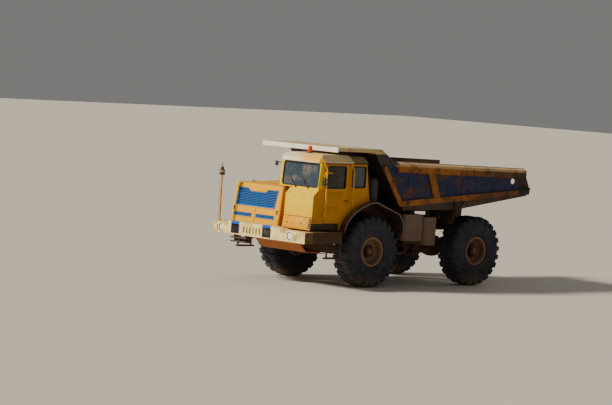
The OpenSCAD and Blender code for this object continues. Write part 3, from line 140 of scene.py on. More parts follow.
class Finish:
    """One material and the nodes that make it, in the frame of the CAD."""

    def __init__(self, name):
        self.material = bpy.data.materials.new(name)
        self.material.use_nodes = True
        self.tree = self.material.node_tree
        self.tree.nodes.clear()
        self.place = self.node("ShaderNodeTexCoord", {}, (), "Object")
        self.facing = self.parts(self.node("ShaderNodeTexCoord", {}, (), "Normal"))
        self.x, self.y, self.z = self.parts(self.place)

    def node(self, kind, settings, inputs, output=0):
        node = self.tree.nodes.new(kind)
        for key, value in settings.items():
            setattr(node, key, value)
        pairs = inputs.items() if isinstance(inputs, dict) else enumerate(inputs)
        for key, value in pairs:
            if isinstance(value, Wire):
                self.tree.links.new(value.socket, node.inputs[key])
            else:
                node.inputs[key].default_value = value
        return Wire(self, node.outputs[output])

    def parts(self, vector):
        split = self.node("ShaderNodeSeparateXYZ", {}, (vector,))
        outputs = split.socket.node.outputs
        return tuple(Wire(self, outputs[i]) for i in range(3))

    def noise(self, scale, detail=4.0, rough=0.6, stretch=(1, 1, 1)):
        spot = self.node("ShaderNodeVectorMath", {"operation": "MULTIPLY"}, (self.place, stretch))
        inputs = {"Vector": spot, "Scale": scale, "Detail": detail, "Roughness": rough}
        return self.node("ShaderNodeTexNoise", {}, inputs)

    def cells(self, scale, stretch):
        spot = self.node("ShaderNodeVectorMath", {"operation": "MULTIPLY"}, (self.place, stretch))
        return self.node("ShaderNodeTexVoronoi", {}, {"Vector": spot, "Scale": scale})

    def mix(self, share, *colours):
        """The second colour over the first. A plain colour of three numbers is a screen colour."""
        first, second = (paint(*c) if isinstance(c, tuple) and len(c) == 3 else c for c in colours)
        return self.node("ShaderNodeMix", {"data_type": "RGBA"}, {0: share, 6: first, 7: second}, 2)

    def attribute(self, name):
        return self.node("ShaderNodeAttribute", {"attribute_name": name}, (), "Fac")

    def radius(self, y, z):
        """Distance from an axis that runs along X."""
        across = self.node("ShaderNodeCombineXYZ", {}, (0.0, self.y - y, self.z - z))
        return self.node("ShaderNodeVectorMath", {"operation": "LENGTH"}, (across,), "Value")

    def soft_edges(self, radius):
        """The normal rounded at the edges, and a mask of those edges."""
        rounded = self.node("ShaderNodeBevel", {"samples": 4}, (radius,))
        flat = self.node("ShaderNodeNewGeometry", {}, (), "Normal")
        along = self.node("ShaderNodeVectorMath", {"operation": "DOT_PRODUCT"}, (rounded, flat), "Value")
        return rounded, (1 - along).rise(0.015, 0.12)

    def surface(self, colour, rough, height=None, depth=0.002, normal=None, **fixed):
        """Closes the finish. The fixed values go straight on the shader's own sockets."""
        inputs = {"Base Color": colour, "Roughness": rough}
        for key, value in fixed.items():
            inputs[key.replace("_", " ")] = value
        if height is not None:
            bump = {"Strength": 1.0, "Distance": depth, "Height": height}
            if normal is not None:
                bump["Normal"] = normal
            normal = self.node("ShaderNodeBump", {}, bump)
        if normal is not None:
            inputs["Normal"] = normal
        shader = self.node("ShaderNodeBsdfPrincipled", {}, inputs)
        output = self.tree.nodes.new("ShaderNodeOutputMaterial")
        self.tree.links.new(shader.socket, output.inputs["Surface"])
        return self.material


def dirty(name, base, dust=DUST, dusty=0.5, muddy=0.6, low=0.7, high=1.9, streaks=0.35,
          wear=0.6, rusty=0.25, rough=0.45, edge=0.008, coat=None, dents=0.0):
    """Painted steel with sun fade, streaks, dust on top, mud below, worn edges and rust."""
    finish = Finish(name)
    base = paint(*base)
    broad = finish.noise(1.1, 3.0, 0.55)
    cloud = finish.noise(5.5, 6.0, 0.65)
    fine = finish.noise(45.0, 5.0, 0.7)
    colour = coat(finish, base) if coat else base
    tint = finish.mix(0.55, colour, tuple(c * 0.62 for c in base[:3]) + (1.0,))
    colour = finish.mix(broad.rise(0.42, 0.72) * cloud.rise(0.3, 0.7) * 0.6, colour, tint)
    run = finish.noise(7.0, 5.0, 0.7, (1.0, 1.0, 0.09))
    colour = finish.mix(run.rise(0.52, 0.78) * streaks, colour, GRIME)
    rounded, edges = finish.soft_edges(edge)
    flakes = finish.noise(16.0, 8.0, 0.75).rise(0.69, 0.73) * rusty
    chips = (edges * fine.rise(0.42, 0.62)).most(flakes)
    colour = finish.mix((chips * wear).clipped(), colour, finish.mix(fine, RUST, BARE))
    lies = finish.facing[2].rise(0.25, 0.9) * (cloud * 0.9 + 0.45) * dusty
    clings = cloud.rise(0.48, 0.78) * broad.rise(0.3, 0.7) * (dusty * 0.75)
    dust_mask = lies.most(clings).clipped()
    colour = finish.mix(dust_mask, colour, dust)
    splash = (finish.z + (cloud - 0.5) * 0.9).rise(high, low) * (0.55 + fine * 0.45) * muddy
    colour = finish.mix(splash.clipped(), colour, MUD)
    cover = dust_mask.most(splash).most(chips * wear).clipped()
    gloss = finish.node("ShaderNodeMix", {"data_type": "FLOAT"}, {0: cover, 2: rough, 3: 0.92})
    height = fine * 0.35 + cover * cloud * 0.9 - chips * 0.5
    if dents:
        height = height + finish.noise(2.6, 2.0, 0.5).rise(0.3, 0.75) * dents
    return finish.surface(colour, gloss, height, 0.0025, rounded, Specular_IOR_Level=0.28)


def cab_coat_lit_and_shaded(finish, base):
    """Lemon front as painted light, peach flap at its foot, ochre sides as painted shade on the same yellow
    paint, and a dark patch of painted shade for a step well under the door.
    """
    forward = finish.facing[1].rise(-0.30, -0.55)
    sunlit_lemon = finish.mix(finish.z.rise(1.7, 2.1), (240, 190, 0), (244, 206, 0))
    # Lemon on faces that look forward and the darker ochre base on the sides: one yellow paint, with painted
    # light ahead and painted shade on the sides.
    colour = finish.mix(forward, base, sunlit_lemon)
    low_front = forward * finish.z.rise(1.668, 1.662)
    colour = finish.mix(low_front, colour, (234, 166, 0))
    y = finish.y - FRONT_Y
    along = y.rise(-1.925, -1.915) * y.rise(-1.02, -1.035)
    # A dark patch low on the side under the door: painted shade of a step well.
    well = finish.x.rise(1.405, 1.412) * finish.z.rise(1.528, 1.520) * along
    return finish.mix(well, colour, (40, 30, 22))


def roof_coat_with_canopy_shadow(finish, base):
    """White brow with a yellow corner, cream roof, and grey-olive behind as the canopy's painted shadow."""
    ahead = finish.facing[1].rise(-0.3, -0.55)
    brow = finish.mix(finish.x.rise(0.30, 1.0), (246, 236, 206), (250, 190, 40))
    # Grey-olive over the rear of the roof: painted shadow of the canopy.
    colour = finish.mix((finish.y - FRONT_Y).rise(-0.655, -0.645), base, (112, 108, 84))
    return finish.mix(ahead, colour, brow)


def hood_coat_with_shaded_sides(finish, base):
    """Pale orange face; the sides painted darker orange as painted shade."""
    sides = finish.facing[0].size().rise(0.5, 0.85)
    # Faces that look sideways take darker orange: painted shade.
    return finish.mix(sides * 0.9, base, (168, 96, 22))


def bumper_coat_with_painted_shade(finish, base):
    """Cream face and top with brown stains; dark brown ends and near-black slot walls, both painted shade."""
    # Faces that look sideways, the bumper's ends and the walls of its slots, get painted shade: dark brown,
    # and near black inside the slots.
    ends = finish.facing[0].size().rise(0.6, 0.8)
    colour = finish.mix(finish.noise(2.6, 6.0, 0.7).rise(0.50, 0.62) * 0.55, base, (196, 138, 60))
    colour = finish.mix(ends, colour, (86, 60, 40))
    return finish.mix(ends * finish.x.size().rise(1.60, 1.59), colour, (16, 13, 10))


def lamp_coat(finish, base):
    """Blue lid over a dark housing."""
    return finish.mix(finish.z.rise(SQUARE_HIGH - 0.058, SQUARE_HIGH - 0.066), base, (20, 26, 40))


def bed_coat_with_painted_shade(finish, base):
    """Navy panels, ochre rails and posts, cream coping and canopy edge, rusty inside and under, with
    near-black painted shade on the inboard faces that look down or forward.
    """
    y = finish.y - FRONT_Y
    side = finish.x.size()
    patch = finish.noise(3.2, 6.0, 0.7)
    spots = patch.rise(0.4, 0.6)

    rust = finish.mix(spots, (58, 40, 32), (104, 66, 36))
    scabs = finish.noise(1.9, 8.0, 0.78, (1.0, 0.7, 1.6)).rise(0.48, 0.57)
    colour = finish.mix(scabs * (1 - y.rise(2.2, 3.6) * 0.55) * 0.85, base, rust)

    ochre = finish.mix(patch.rise(0.38, 0.66), (168, 104, 20), (84, 48, 24))
    brown = finish.mix(spots, (98, 60, 26), (48, 32, 24))
    ochre = finish.mix(y.rise(2.2, 4.6) * 0.8, ochre, brown)
    raised = side.rise(1.573, 1.578)
    colour = finish.mix(raised * y.rise(5.02, 4.92), colour, ochre)
    tail = finish.mix(spots, (36, 32, 38), (66, 46, 34))
    colour = finish.mix(y.rise(4.98, 5.04), colour, tail)

    above = finish.z - rim_height(y)
    coping = above.rise(-0.012, 0.002) * y.inside(0.60, 5.3, 0.02) * side.rise(1.45, 1.47)
    colour = finish.mix(coping, colour, finish.mix(patch.rise(0.48, 0.66), (198, 162, 114), (112, 78, 48)))
    wing = y.inside(-0.2, 0.72, 0.02) * above.rise(0.0, 0.02) * side.rise(1.53, 1.54)
    colour = finish.mix(wing, colour, finish.mix(patch.rise(0.45, 0.6), (62, 64, 76), (78, 58, 44)))
    canopy = finish.z.rise(3.205, 3.215) * y.rise(0.25, 0.20)
    colour = finish.mix(canopy, colour, finish.mix(y.rise(-1.09, -1.08), (250, 244, 226), (206, 186, 132)))

    worn = finish.mix(finish.noise(2.2, 6.0, 0.7).rise(0.4, 0.6), (70, 50, 36), (112, 82, 58))
    # Inboard faces that look down or forward, under the bed and on the front wall under the canopy, get near
    # black: painted shade.
    under = finish.facing[2].rise(-0.2, -0.6).most(finish.facing[1].rise(-0.25, -0.5))
    worn = finish.mix(under, worn, (34, 28, 26))
    # Inside the bed: rust brown, carrying the painted shade on faces that look down or forward.
    colour = finish.mix(side.rise(1.536, 1.534) * (1 - canopy), colour, worn)
    beams = finish.mix(patch.rise(0.4, 0.65), (84, 68, 58), (50, 38, 32))
    return finish.mix((finish.z - bed_low(y)).rise(-0.004, -0.012), colour, beams)


def rim_coat(y):
    """Rings round a wheel's own axle."""
    def coat(finish, base):
        away = finish.radius(y, HUB_Z)
        colour = finish.mix(away.inside(0.305, 0.345, 0.01), base, (150, 120, 96))
        colour = finish.mix(away.rise(0.20, 0.15), colour, (60, 44, 34))
        return finish.mix(away.rise(0.09, 0.06), colour, (118, 88, 66))
    return coat


def rubber(name):
    """Bluish worn tread rubber, with dust in the grooves and on the walls."""
    finish = Finish(name)
    cloud = finish.noise(6.0, 6.0, 0.7)
    fine = finish.noise(70.0, 6.0, 0.75)
    lift = finish.attribute("lift")
    wall = finish.attribute("wall")
    colour = finish.mix(cloud.rise(0.35, 0.65), (34, 36, 46), (52, 54, 66))
    groove = (1 - lift) * (1 - wall) * (cloud * 0.8 + 0.3)
    colour = finish.mix(groove.clipped() * 0.5, colour, (60, 54, 50))
    colour = finish.mix(wall * cloud.rise(0.45, 0.8) * 0.3, colour, (84, 78, 76))
    low = finish.z.rise(0.35, 0.0) * fine.rise(0.3, 0.6) * 0.35
    colour = finish.mix(low, colour, DUST)
    return finish.surface(colour, 0.62 + fine * 0.3, fine * 0.5 + cloud, 0.0035)


def glass(name, tint, clear, dusty):
    """Tinted pane with a film of dust, clear where the wiper or the rain went."""
    finish = Finish(name)
    cloud = finish.noise(3.6, 5.0, 0.6)
    film = (cloud.rise(0.42, 0.8) * dusty).clipped()
    colour = finish.mix(film, tint, (168, 158, 138))
    return finish.surface(colour, 0.05 + film * 0.6, Transmission_Weight=clear, IOR=1.45)


def simple(name, base, other, scale, rough, rough_gain=0.2, depth=0.0008, **fixed):
    """A small part's finish: two tones in a cloud, with a fine grain."""
    finish = Finish(name)
    cloud = finish.noise(scale, 5.0, 0.65)
    fine = finish.noise(scale * 9, 4.0, 0.7)
    colour = finish.mix(cloud.rise(0.38, 0.68), base, other)
    return finish.surface(colour, rough + cloud * rough_gain, fine, depth, **fixed)


def grip_plate(name):
    """Checker plate with raised tears, trodden and muddy."""
    finish = Finish(name)
    cloud = finish.noise(6.0, 5.0, 0.65)
    tears = finish.cells(34.0, (1.0, 0.45, 1.0)).rise(0.34, 0.2)
    colour = finish.mix(cloud.rise(0.35, 0.7), (96, 72, 52), (140, 112, 82))
    colour = finish.mix(tears * 0.5, colour, (128, 120, 110))
    return finish.surface(colour, 0.85 - tears * 0.25, tears + cloud * 0.4, 0.004)


FINISHES = {}


def make_finishes():
    """Makes every finish once, by its plain name."""
    FINISHES.update(
        frame=dirty("frame_paint", (58, 52, 47), dusty=0.45, rusty=0.5, muddy=0.7, rough=0.6),
        bumper=dirty("bumper_cream", (250, 226, 158), dusty=0.3, muddy=0.3, low=0.95, high=1.25,
                     streaks=0.25, wear=0.8, coat=bumper_coat_with_painted_shade, rough=0.5),
        dark_steel=dirty("dark_steel", (52, 47, 43), dusty=0.4, muddy=0.5, rough=0.5),
        guard=dirty("guard_orange", (196, 112, 44), dusty=0.3, muddy=0.35, rusty=0.6, rough=0.6),
        hood=dirty("hood_orange", (240, 176, 0), dust=(232, 186, 70), dusty=0.22, muddy=0.15, low=1.0,
                   high=1.5, streaks=0.16, wear=0.5, coat=hood_coat_with_shaded_sides, rough=0.4),
        grille=dirty("grille_blue", (26, 108, 188), dusty=0.12, muddy=0.1, low=1.2, high=1.5,
                     streaks=0.1, wear=0.7, rusty=0.4, rough=0.42, edge=0.004),
        square=dirty("square_lamp_blue", (14, 96, 190), dusty=0.15, muddy=0.1, coat=lamp_coat, rough=0.4,
                     edge=0.004),
        cab=dirty("cab_yellow", (206, 140, 10), dusty=0.2, muddy=0.3, low=1.1, high=1.8, streaks=0.22,
                  wear=0.6, rusty=0.2, coat=cab_coat_lit_and_shaded, rough=0.36),
        roof=dirty("roof_cream", (222, 204, 156), dusty=0.5, muddy=0.0, streaks=0.3, coat=roof_coat_with_canopy_shadow),
        bed=dirty("bed_navy", (26, 42, 84), dusty=0.14, muddy=0.2, low=1.4, high=2.4, streaks=0.45,
                  wear=0.9, rusty=0.8, coat=bed_coat_with_painted_shade, dents=1.6, rough=0.5, edge=0.01),
        fender=dirty("fender_brown", (66, 46, 34), dusty=0.3, muddy=0.6, rusty=0.5, rough=0.65),
        tank=dirty("tank_brown", (122, 102, 90), dusty=0.3, muddy=0.5, streaks=0.5, rough=0.6),
        axle=dirty("axle_casting", (72, 56, 44), dusty=0.4, muddy=0.8, rusty=0.6, rough=0.7),
        # Dark grey for the air cleaner and its bands, darker than its own light grey: painted shade of the
        # canopy.
        grey=dirty("air_cleaner_shaded_grey", (62, 64, 66), dusty=0.2, muddy=0.1),
        pole=dirty("pole_ochre", (238, 166, 24), dusty=0.15, muddy=0.1, streaks=0.2),
        rim_front=dirty("rim_rust_front", (134, 104, 82), dusty=0.35, muddy=0.25, rusty=0.8,
                        coat=rim_coat(FRONT_Y), rough=0.6),
        rim_rear=dirty("rim_rust_rear", (126, 98, 76), dusty=0.35, muddy=0.25, rusty=0.8,
                       coat=rim_coat(REAR_Y), rough=0.6),
        rail=dirty("rail_ochre", (226, 162, 40), dusty=0.15, muddy=0.2, streaks=0.2, wear=0.8),
        lip=dirty("lip_grey", (128, 118, 104), dusty=0.2, muddy=0.4, wear=0.8, rusty=0.5),
        rubber=rubber("tread_rubber"),
        glass=glass("cab_glass", (78, 98, 116), 0.5, 0.75),
        silver=simple("lamp_silver", (250, 250, 246), (226, 226, 220), 30.0, 0.25, Metallic=0.25),
        # A darker copy of the glass for the door's window: its dark tint is painted shade.
        side_glass=glass("side_glass", (16, 20, 26), 0.25, 0.25),
        # Near-black sheets behind the bumper's slots: painted shade.
        black=simple("black_inside", (12, 11, 11), (20, 18, 16), 9.0, 0.8),
        lens=glass("lamp_lens", (252, 252, 248), 0.12, 0.12),
        dark_lens=glass("dark_lens", (24, 28, 34), 0.3, 0.3),
        chrome=simple("bright_metal", (236, 236, 234), (196, 196, 194), 20.0, 0.16, Metallic=0.85),
        gasket=simple("gasket_rubber", (22, 22, 24), (44, 42, 40), 14.0, 0.6),
        trim=simple("cab_trim", (30, 30, 32), (52, 50, 48), 10.0, 0.55),
        seat=simple("seat_leatherette", (34, 34, 38), (56, 54, 54), 26.0, 0.45, depth=0.0015),
        beacon=simple("beacon_orange", (255, 96, 12), (230, 70, 8), 9.0, 0.12, Transmission_Weight=0.25),
        amber=simple("amber_lens", (120, 84, 30), (90, 60, 24), 9.0, 0.2),
        white_paint=simple("white_paint", (246, 244, 236), (214, 204, 184), 7.0, 0.4),
        red_lens=simple("red_lens", (190, 20, 14), (140, 12, 10), 9.0, 0.15),
        grip=grip_plate("grip_plate"),
        core=simple("radiator_core", (40, 38, 36), (66, 58, 50), 30.0, 0.7, depth=0.003),
        mirror=simple("mirror_glass", (220, 226, 230), (200, 206, 212), 4.0, 0.04, 0.05, Metallic=1.0),
    )


CARRIED = {
    "frame": "frame", "front_bumper": "bumper", "tow_hitch": "dark_steel", "sump_guard": "guard",
    "hood": "hood", "grille": "grille", "radiator": "core", "engine": "axle", "transmission": "axle",
    "cab_shell": "cab", "cab_roof": "roof", "cab_glass": "glass", "cab_door": "cab",
    "door_glass": "side_glass", "steering_column": "trim", "marker_pole": "pole",
    "front_fenders": "fender", "side_steps": "fender",
    "front_axle": "axle", "knuckle_l": "axle", "knuckle_r": "axle", "tie_rod": "dark_steel",
    "rim_fl": "rim_front", "rim_fr": "rim_front", "rim_rl": "rim_rear", "rim_rr": "rim_rear",
    "rear_axle": "axle", "suspension": "dark_steel", "fuel_tank": "tank", "oil_tank": "tank",
    "air_cleaner": "grey", "bed": "bed", "hoist_barrel_l": "dark_steel", "hoist_barrel_r": "dark_steel",
    "hoist_rod_l": "chrome", "hoist_rod_r": "chrome", "seat": "seat", "wipers": "gasket", "lamps": "chrome",
    "handrails": "rail", "beacon": "beacon",
}


# Mesh work

def across(axis):
    """Two directions square to an axis, so that u, v and the axis make a right-handed set."""
    axis = axis.normalized()
    start = Z_AXIS if abs(axis.z) < 0.9 else X_AXIS
    u = start.cross(axis).normalized()
    return u, axis.cross(u)


def rounded(corners, radius, steps=4):
    """A path of points with each inner corner turned into an arc."""
    path = [corners[0]]
    for before, here, after in zip(corners, corners[1:], corners[2:]):
        a = (before - here).normalized()
        b = (after - here).normalized()
        half = a.angle(b) / 2
        reach = min(radius / math.tan(half), (before - here).length * 0.49, (after - here).length * 0.49)
        start = here + a * reach
        end = here + b * reach
        for i in range(steps + 1):
            t = i / steps
            path.append(start * (1 - t) ** 2 + here * (2 * t * (1 - t)) + end * t ** 2)
    path.append(corners[-1])
    return path


def rectangle(x0, y0, x1, y1):
    """The corners of a rectangle as pairs, counter-clockwise from the lowest."""
    return (x0, y0), (x1, y0), (x1, y1), (x0, y1)


def soft_rectangle(low, high, radius, steps=4, grow=0.0):
    """A rectangle with round corners, as pairs, counter-clockwise. grow widens it all round."""
    points = []
    inset = radius - grow
    middles = rectangle(low[0] + inset, low[1] + inset, high[0] - inset, high[1] - inset)
    for turn, middle in enumerate((middles[2], middles[3], middles[0], middles[1])):
        for i in range(steps + 1):
            angle = math.pi / 2 * (turn + i / steps)
            points.append((middle[0] + radius * math.cos(angle), middle[1] + radius * math.sin(angle)))
    return points


def around(centre, axis, radius, count, start=0.0):
    """Points evenly round an axis."""
    u, v = across(axis)
    turns = [start + 2 * math.pi * i / count for i in range(count)]
    return [centre + (u * math.cos(a) + v * math.sin(a)) * radius for a in turns]


def spokes(count):
    """Directions evenly round the vertical."""
    turns = [2 * math.pi * i / count for i in range(count)]
    return [Vector((math.cos(a), math.sin(a), 0)) for a in turns]


def wall(x, hand=1):
    """Places (y, z) pairs on an upright plane that faces left, or right if hand is -1."""
    return lambda pair, lift: front(x + hand * lift, *pair)


def facing_front(y):
    """Places (x, z) pairs on an upright plane that faces forward."""
    return lambda pair, lift: front(pair[0], y - lift, pair[1])


class Shape:
    """A mesh under construction, in metres, in the frame of the CAD."""

    def __init__(self):
        self.mesh = bmesh.new()

    def row(self, points):
        return [self.mesh.verts.new(point) for point in points]

    def skin(self, first, second, closed=True):
        """Faces between two rows. A row of one point is a pole."""
        count = max(len(first), len(second))
        for i in range(count if closed else count - 1):
            j = (i + 1) % count
            if len(first) == 1:
                corners = (first[0], second[j], second[i])
            elif len(second) == 1:
                corners = (first[i], first[j], second[0])
            else:
                corners = (first[i], first[j], second[j], second[i])
            self.mesh.faces.new(corners)

    def loft(self, rows, closed=True, caps=True, ring=False):
        made = [self.row(points) for points in rows]
        for first, second in zip(made, made[1:]):
            self.skin(first, second, closed)
        if ring:
            self.skin(made[-1], made[0], closed)
        elif caps:
            for end in (made[0], made[-1]):
                if len(end) > 2:
                    self.mesh.faces.new(end)
        return made

    def box(self, low, high, turn=None, about=None):
        base = rectangle(low[0], low[1], high[0], high[1])
        corners = [Vector((x, y, z)) for z in (low[2], high[2]) for x, y in base]
        if turn is not None:
            corners = [turn @ (corner - about) + about for corner in corners]
        self.loft((corners[:4], corners[4:]))

    def box_at(self, spot, low, high):
        """A box whose corners are given from a spot."""
        self.box(spot + Vector(low), spot + Vector(high))

    def sheet(self, outline, out):
        """A flat outline of points, thickened along the vector out."""
        self.loft((outline, [point + out for point in outline]))

    def layers(self, place, *layers):
        """Outlines of pairs, each with its lift, one over the other. place(pair, lift) gives the point."""
        self.loft([[place(pair, lift) for pair in pairs] for pairs, lift in layers])

    def slab(self, place, pairs, low, high):
        self.layers(place, (pairs, low), (pairs, high))

    def spin(self, profile, centre, axis, sides=48, ring=False):
        """A profile of (radius, height) pairs, turned round an axis."""
        axis = axis.normalized()
        rows = []
        for radius, height in profile:
            middle = centre + axis * height
            rows.append(around(middle, axis, radius, sides) if radius > 1e-6 else [middle])
        self.loft(rows, ring=ring)

    def collar(self, inner, outer, low, high, centre, axis, sides=48):
        """A ring of square section round an axis."""
        self.spin(((inner, low), (outer, low), (outer, high), (inner, high)), centre, axis, sides, ring=True)

    def rod(self, start, end, radius, tip=None, sides=20):
        along = end - start
        self.spin(((radius, 0.0), (radius if tip is None else tip, along.length)), start, along, sides)

    def tube(self, path, radius, sides=12, closed=False):
        """A round tube along a path of points."""
        count = len(path)
        rows = []
        side = None
        for i, point in enumerate(path):
            before = path[i - 1] if i or closed else point
            after = path[(i + 1) % count] if i + 1 < count or closed else point
            along = (after - before).normalized()
            if side is None:
                side = across(along)[0]
            side = (side - along * side.dot(along)).normalized()
            up = along.cross(side)
            turns = [2 * math.pi * k / sides for k in range(sides)]
            rows.append([point + (side * math.cos(a) + up * math.sin(a)) * radius for a in turns])
        self.loft(rows, ring=closed)

    def handle(self, foot, half, rise, bend, radius, sides=8):
        """A round bar bent over a foot. half leads to its end and rise to its top."""
        path = (foot - half, foot - half + rise, foot + half + rise, foot + half)
        self.tube(rounded(path, bend), radius, sides)

    def band(self, outline, width, out, place):
        """A raised frame round a closed outline of pairs."""
        count = len(outline)
        rows = []
        for i, here in enumerate(outline):
            before = outline[i - 1]
            after = outline[(i + 1) % count]
            run = Vector((after[0] - before[0], after[1] - before[1])).normalized()
            inner = (here[0] - run.y * width, here[1] + run.x * width)
            middle = (here[0] - run.y * width / 2, here[1] + run.x * width / 2)
            section = ((here, 0.0), (here, out * 0.6), (middle, out), (inner, out * 0.5), (inner, -0.004))
            rows.append([place(pair, lift) for pair, lift in section])
        self.loft(rows, ring=True)

    def bolt(self, seat, axis, size, sides=6):
        """A hexagon head on its washer. size is the head's radius."""
        washer = size * 1.35
        thick = size * 0.18
        top = size * 0.95
        self.spin(((0.0, 0.0), (washer, 0.0), (washer, thick), (0.0, thick)), seat, axis, 16)
        head = ((0.0, thick), (size, thick), (size, top * 0.85), (size * 0.82, top), (0.0, top))
        self.spin(head, seat, axis, sides)

    def bolts(self, seats, axis, size):
        for seat in seats:
            self.bolt(seat, axis, size)

    def circle_of_bolts(self, centre, axis, radius, count, size, start=0.0):
        self.bolts(around(centre, axis, radius, count, start), axis, size)

    def piece(self, name, finish, slot, body="root", bevel=0.0, angle=35, mirror=False, subdivide=0):
        """Ends the mesh and puts it in the scene, riding on its body."""
        if mirror:
            copied = bmesh.ops.duplicate(self.mesh, geom=self.mesh.verts[:] + self.mesh.faces[:])["geom"]
            moved = [part for part in copied if isinstance(part, bmesh.types.BMVert)]
            for vert in moved:
                vert.co.x = -vert.co.x
        bmesh.ops.recalc_face_normals(self.mesh, faces=self.mesh.faces)
        mesh = bpy.data.meshes.new(name)
        self.mesh.to_mesh(mesh)
        self.mesh.free()
        for face in mesh.polygons:
            face.use_smooth = True
        mesh.set_sharp_from_angle(angle=math.radians(angle))
        mesh.materials.append(FINISHES[finish])
        piece = bpy.data.objects.new(name, mesh)
        bpy.context.scene.collection.objects.link(piece)
        if bevel:
            softened = piece.modifiers.new("softened", "BEVEL")
            softened.width = bevel
            softened.segments = 2
            softened.limit_method = "ANGLE"
            softened.angle_limit = math.radians(angle)
        if subdivide:
            smoothed = piece.modifiers.new("smoothed", "SUBSURF")
            smoothed.levels = subdivide
            smoothed.render_levels = subdivide
        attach(piece, body)
        return piece


# Tyres and wheels

TREAD = (
    # Across as a share of half the width, radius of the floor, then both for the lug's top
    (0.030, 0.826, 0.030, 0.826), (0.070, 0.827, 0.075, 0.8600), (0.300, 0.827, 0.300, 0.8630),
    (0.550, 0.827, 0.550, 0.8632), (0.680, 0.818, 0.720, 0.8625), (0.760, 0.811, 0.830, 0.8530),
    (0.830, 0.790, 0.920, 0.8330), (0.885, 0.765, 0.970, 0.7950), (0.920, 0.735, 0.995, 0.7550),
    (0.940, 0.705, 0.995, 0.7180), (0.955, 0.690, 0.962, 0.6940),
)
WALL = (
    (0.966, 0.670), (0.977, 0.636), (0.982, 0.612), (0.992, 0.608), (0.992, 0.594), (0.983, 0.590),
    (0.986, 0.560), (0.984, 0.500), (0.972, 0.455), (0.958, 0.434), (0.968, 0.424), (0.958, 0.408),
    (0.920, 0.393), (0.868, 0.384), (0.820, 0.377), (0.770, 0.375), (0.770, 0.3185),
)
# Share of a lug's pitch, and 1 on the lug or 0 in the groove
LUG_STEPS = ((-0.270, 0), (-0.243, 1), (-0.12, 1), (0.0, 1), (0.12, 1), (0.243, 1), (0.270, 0),
             (0.385, 0), (0.5, 0), (0.615, 0))
LUG_LEAN = 0.12
LUG_STAGGER = 0.25
# Length and radius of the hub, radius of the nuts' circle, number of nuts and of the cap's bolts
FRONT_HUB = (0.165, 0.105, 0.245, 16, 8)
REAR_HUB = (0.200, 0.135, 0.262, 20, 10)
LOCK_RING = ((0.312, 0.2385), (0.352, 0.2385), (0.356, 0.244), (0.350, 0.250), (0.318, 0.250), (0.312, 0.246))
DISC = 0.108


def make_tyre(name, side, y, body, lugs):
    """The casing and its lugs as one closed skin, with chipped lug tops."""
    rng = random.Random(name)
    centre = Vector((side * WHEEL_X, y, HUB_Z))
    outer = [(*spot, 0.0) for spot in TREAD] + [(*spot, *spot, 1.0) for spot in WALL]
    stations = [(-w, r, -w2, r2, wall) for w, r, w2, r2, wall in reversed(outer)] + outer
    rows = []
    lifts = []
    for i in range(lugs):
        heights = (rng.uniform(0.90, 1.0), rng.uniform(0.90, 1.0))
        for step, lug in LUG_STEPS:
            points = []
            for w, r, w2, r2, wall in stations:
                stagger = LUG_STAGGER if w > 0 else -LUG_STAGGER
                lean = LUG_LEAN * (abs(w) - 0.5)
                share = lug * heights[w > 0] * rng.uniform(0.965, 1.0)
                angle = 2 * math.pi / lugs * (i + stagger + step + lean)
                reach = r + (r2 - r) * share
                wide = (w + (w2 - w) * share) * TYRE_HALF
                spot = Vector((side * wide, reach * math.sin(angle), -reach * math.cos(angle)))
                points.append(centre + spot)
                lifts.append((float(lug if r2 > r else 0), wall))
            rows.append(points)
    shape = Shape()
    shape.loft(rows, ring=True)
    piece = shape.piece(name, "rubber", "tyre", body, angle=38)
    for label, values in zip(("lift", "wall"), zip(*lifts)):
        attribute = piece.data.attributes.new(label, "FLOAT", "POINT")
        attribute.data.foreach_set("value", values)
    return piece


def make_fittings(name, side, y, body, rear):
    """Lock ring, wheel nuts, hub cap and valve of one wheel."""
    axis = X_AXIS * side
    centre = Vector((side * WHEEL_X, y, HUB_Z))
    nose, hub, circle, nuts, cap_bolts = REAR_HUB if rear else FRONT_HUB
    pad = ((circle - 0.024, DISC), (circle - 0.022, DISC + 0.008), (circle + 0.022, DISC + 0.008),
           (circle + 0.024, DISC))
    cap = ((0.0, nose + 0.014), (hub * 0.52, nose + 0.014), (hub * 0.60, nose + 0.008),
           (hub * 0.62, nose - 0.001), (0.0, nose - 0.001))
    shape = Shape()
    shape.spin(LOCK_RING, centre, axis, 64, ring=True)
    shape.collar(0.302, 0.3065, 0.190, 0.2395, centre, axis, 64)
    shape.spin(pad, centre, axis, 64, ring=True)
    for seat in around(centre + axis * (DISC + 0.006), axis, circle, nuts):
        shape.bolt(seat, axis, 0.0155)
        shape.rod(seat, seat + axis * 0.030, 0.008, sides=8)
    shape.spin(cap, centre, axis, 40)
    shape.circle_of_bolts(centre + axis * (nose - 0.0005), axis, hub * 0.75, cap_bolts, 0.009)
    valve = centre + axis * 0.13 + Vector((0, 0.275, 0.05))
    tip = centre + axis * 0.215 + Vector((0, 0.262, 0.048))
    shape.tube(rounded([valve, (valve + tip) / 2 + Vector((0, 0.012, 0)), tip], 0.03), 0.006, 8)
    shape.rod(tip - axis * 0.002, tip + axis * 0.02, 0.009, sides=10)
    return shape.piece(name, "rim_rear" if rear else "rim_front", "rim", body, bevel=0.0015)


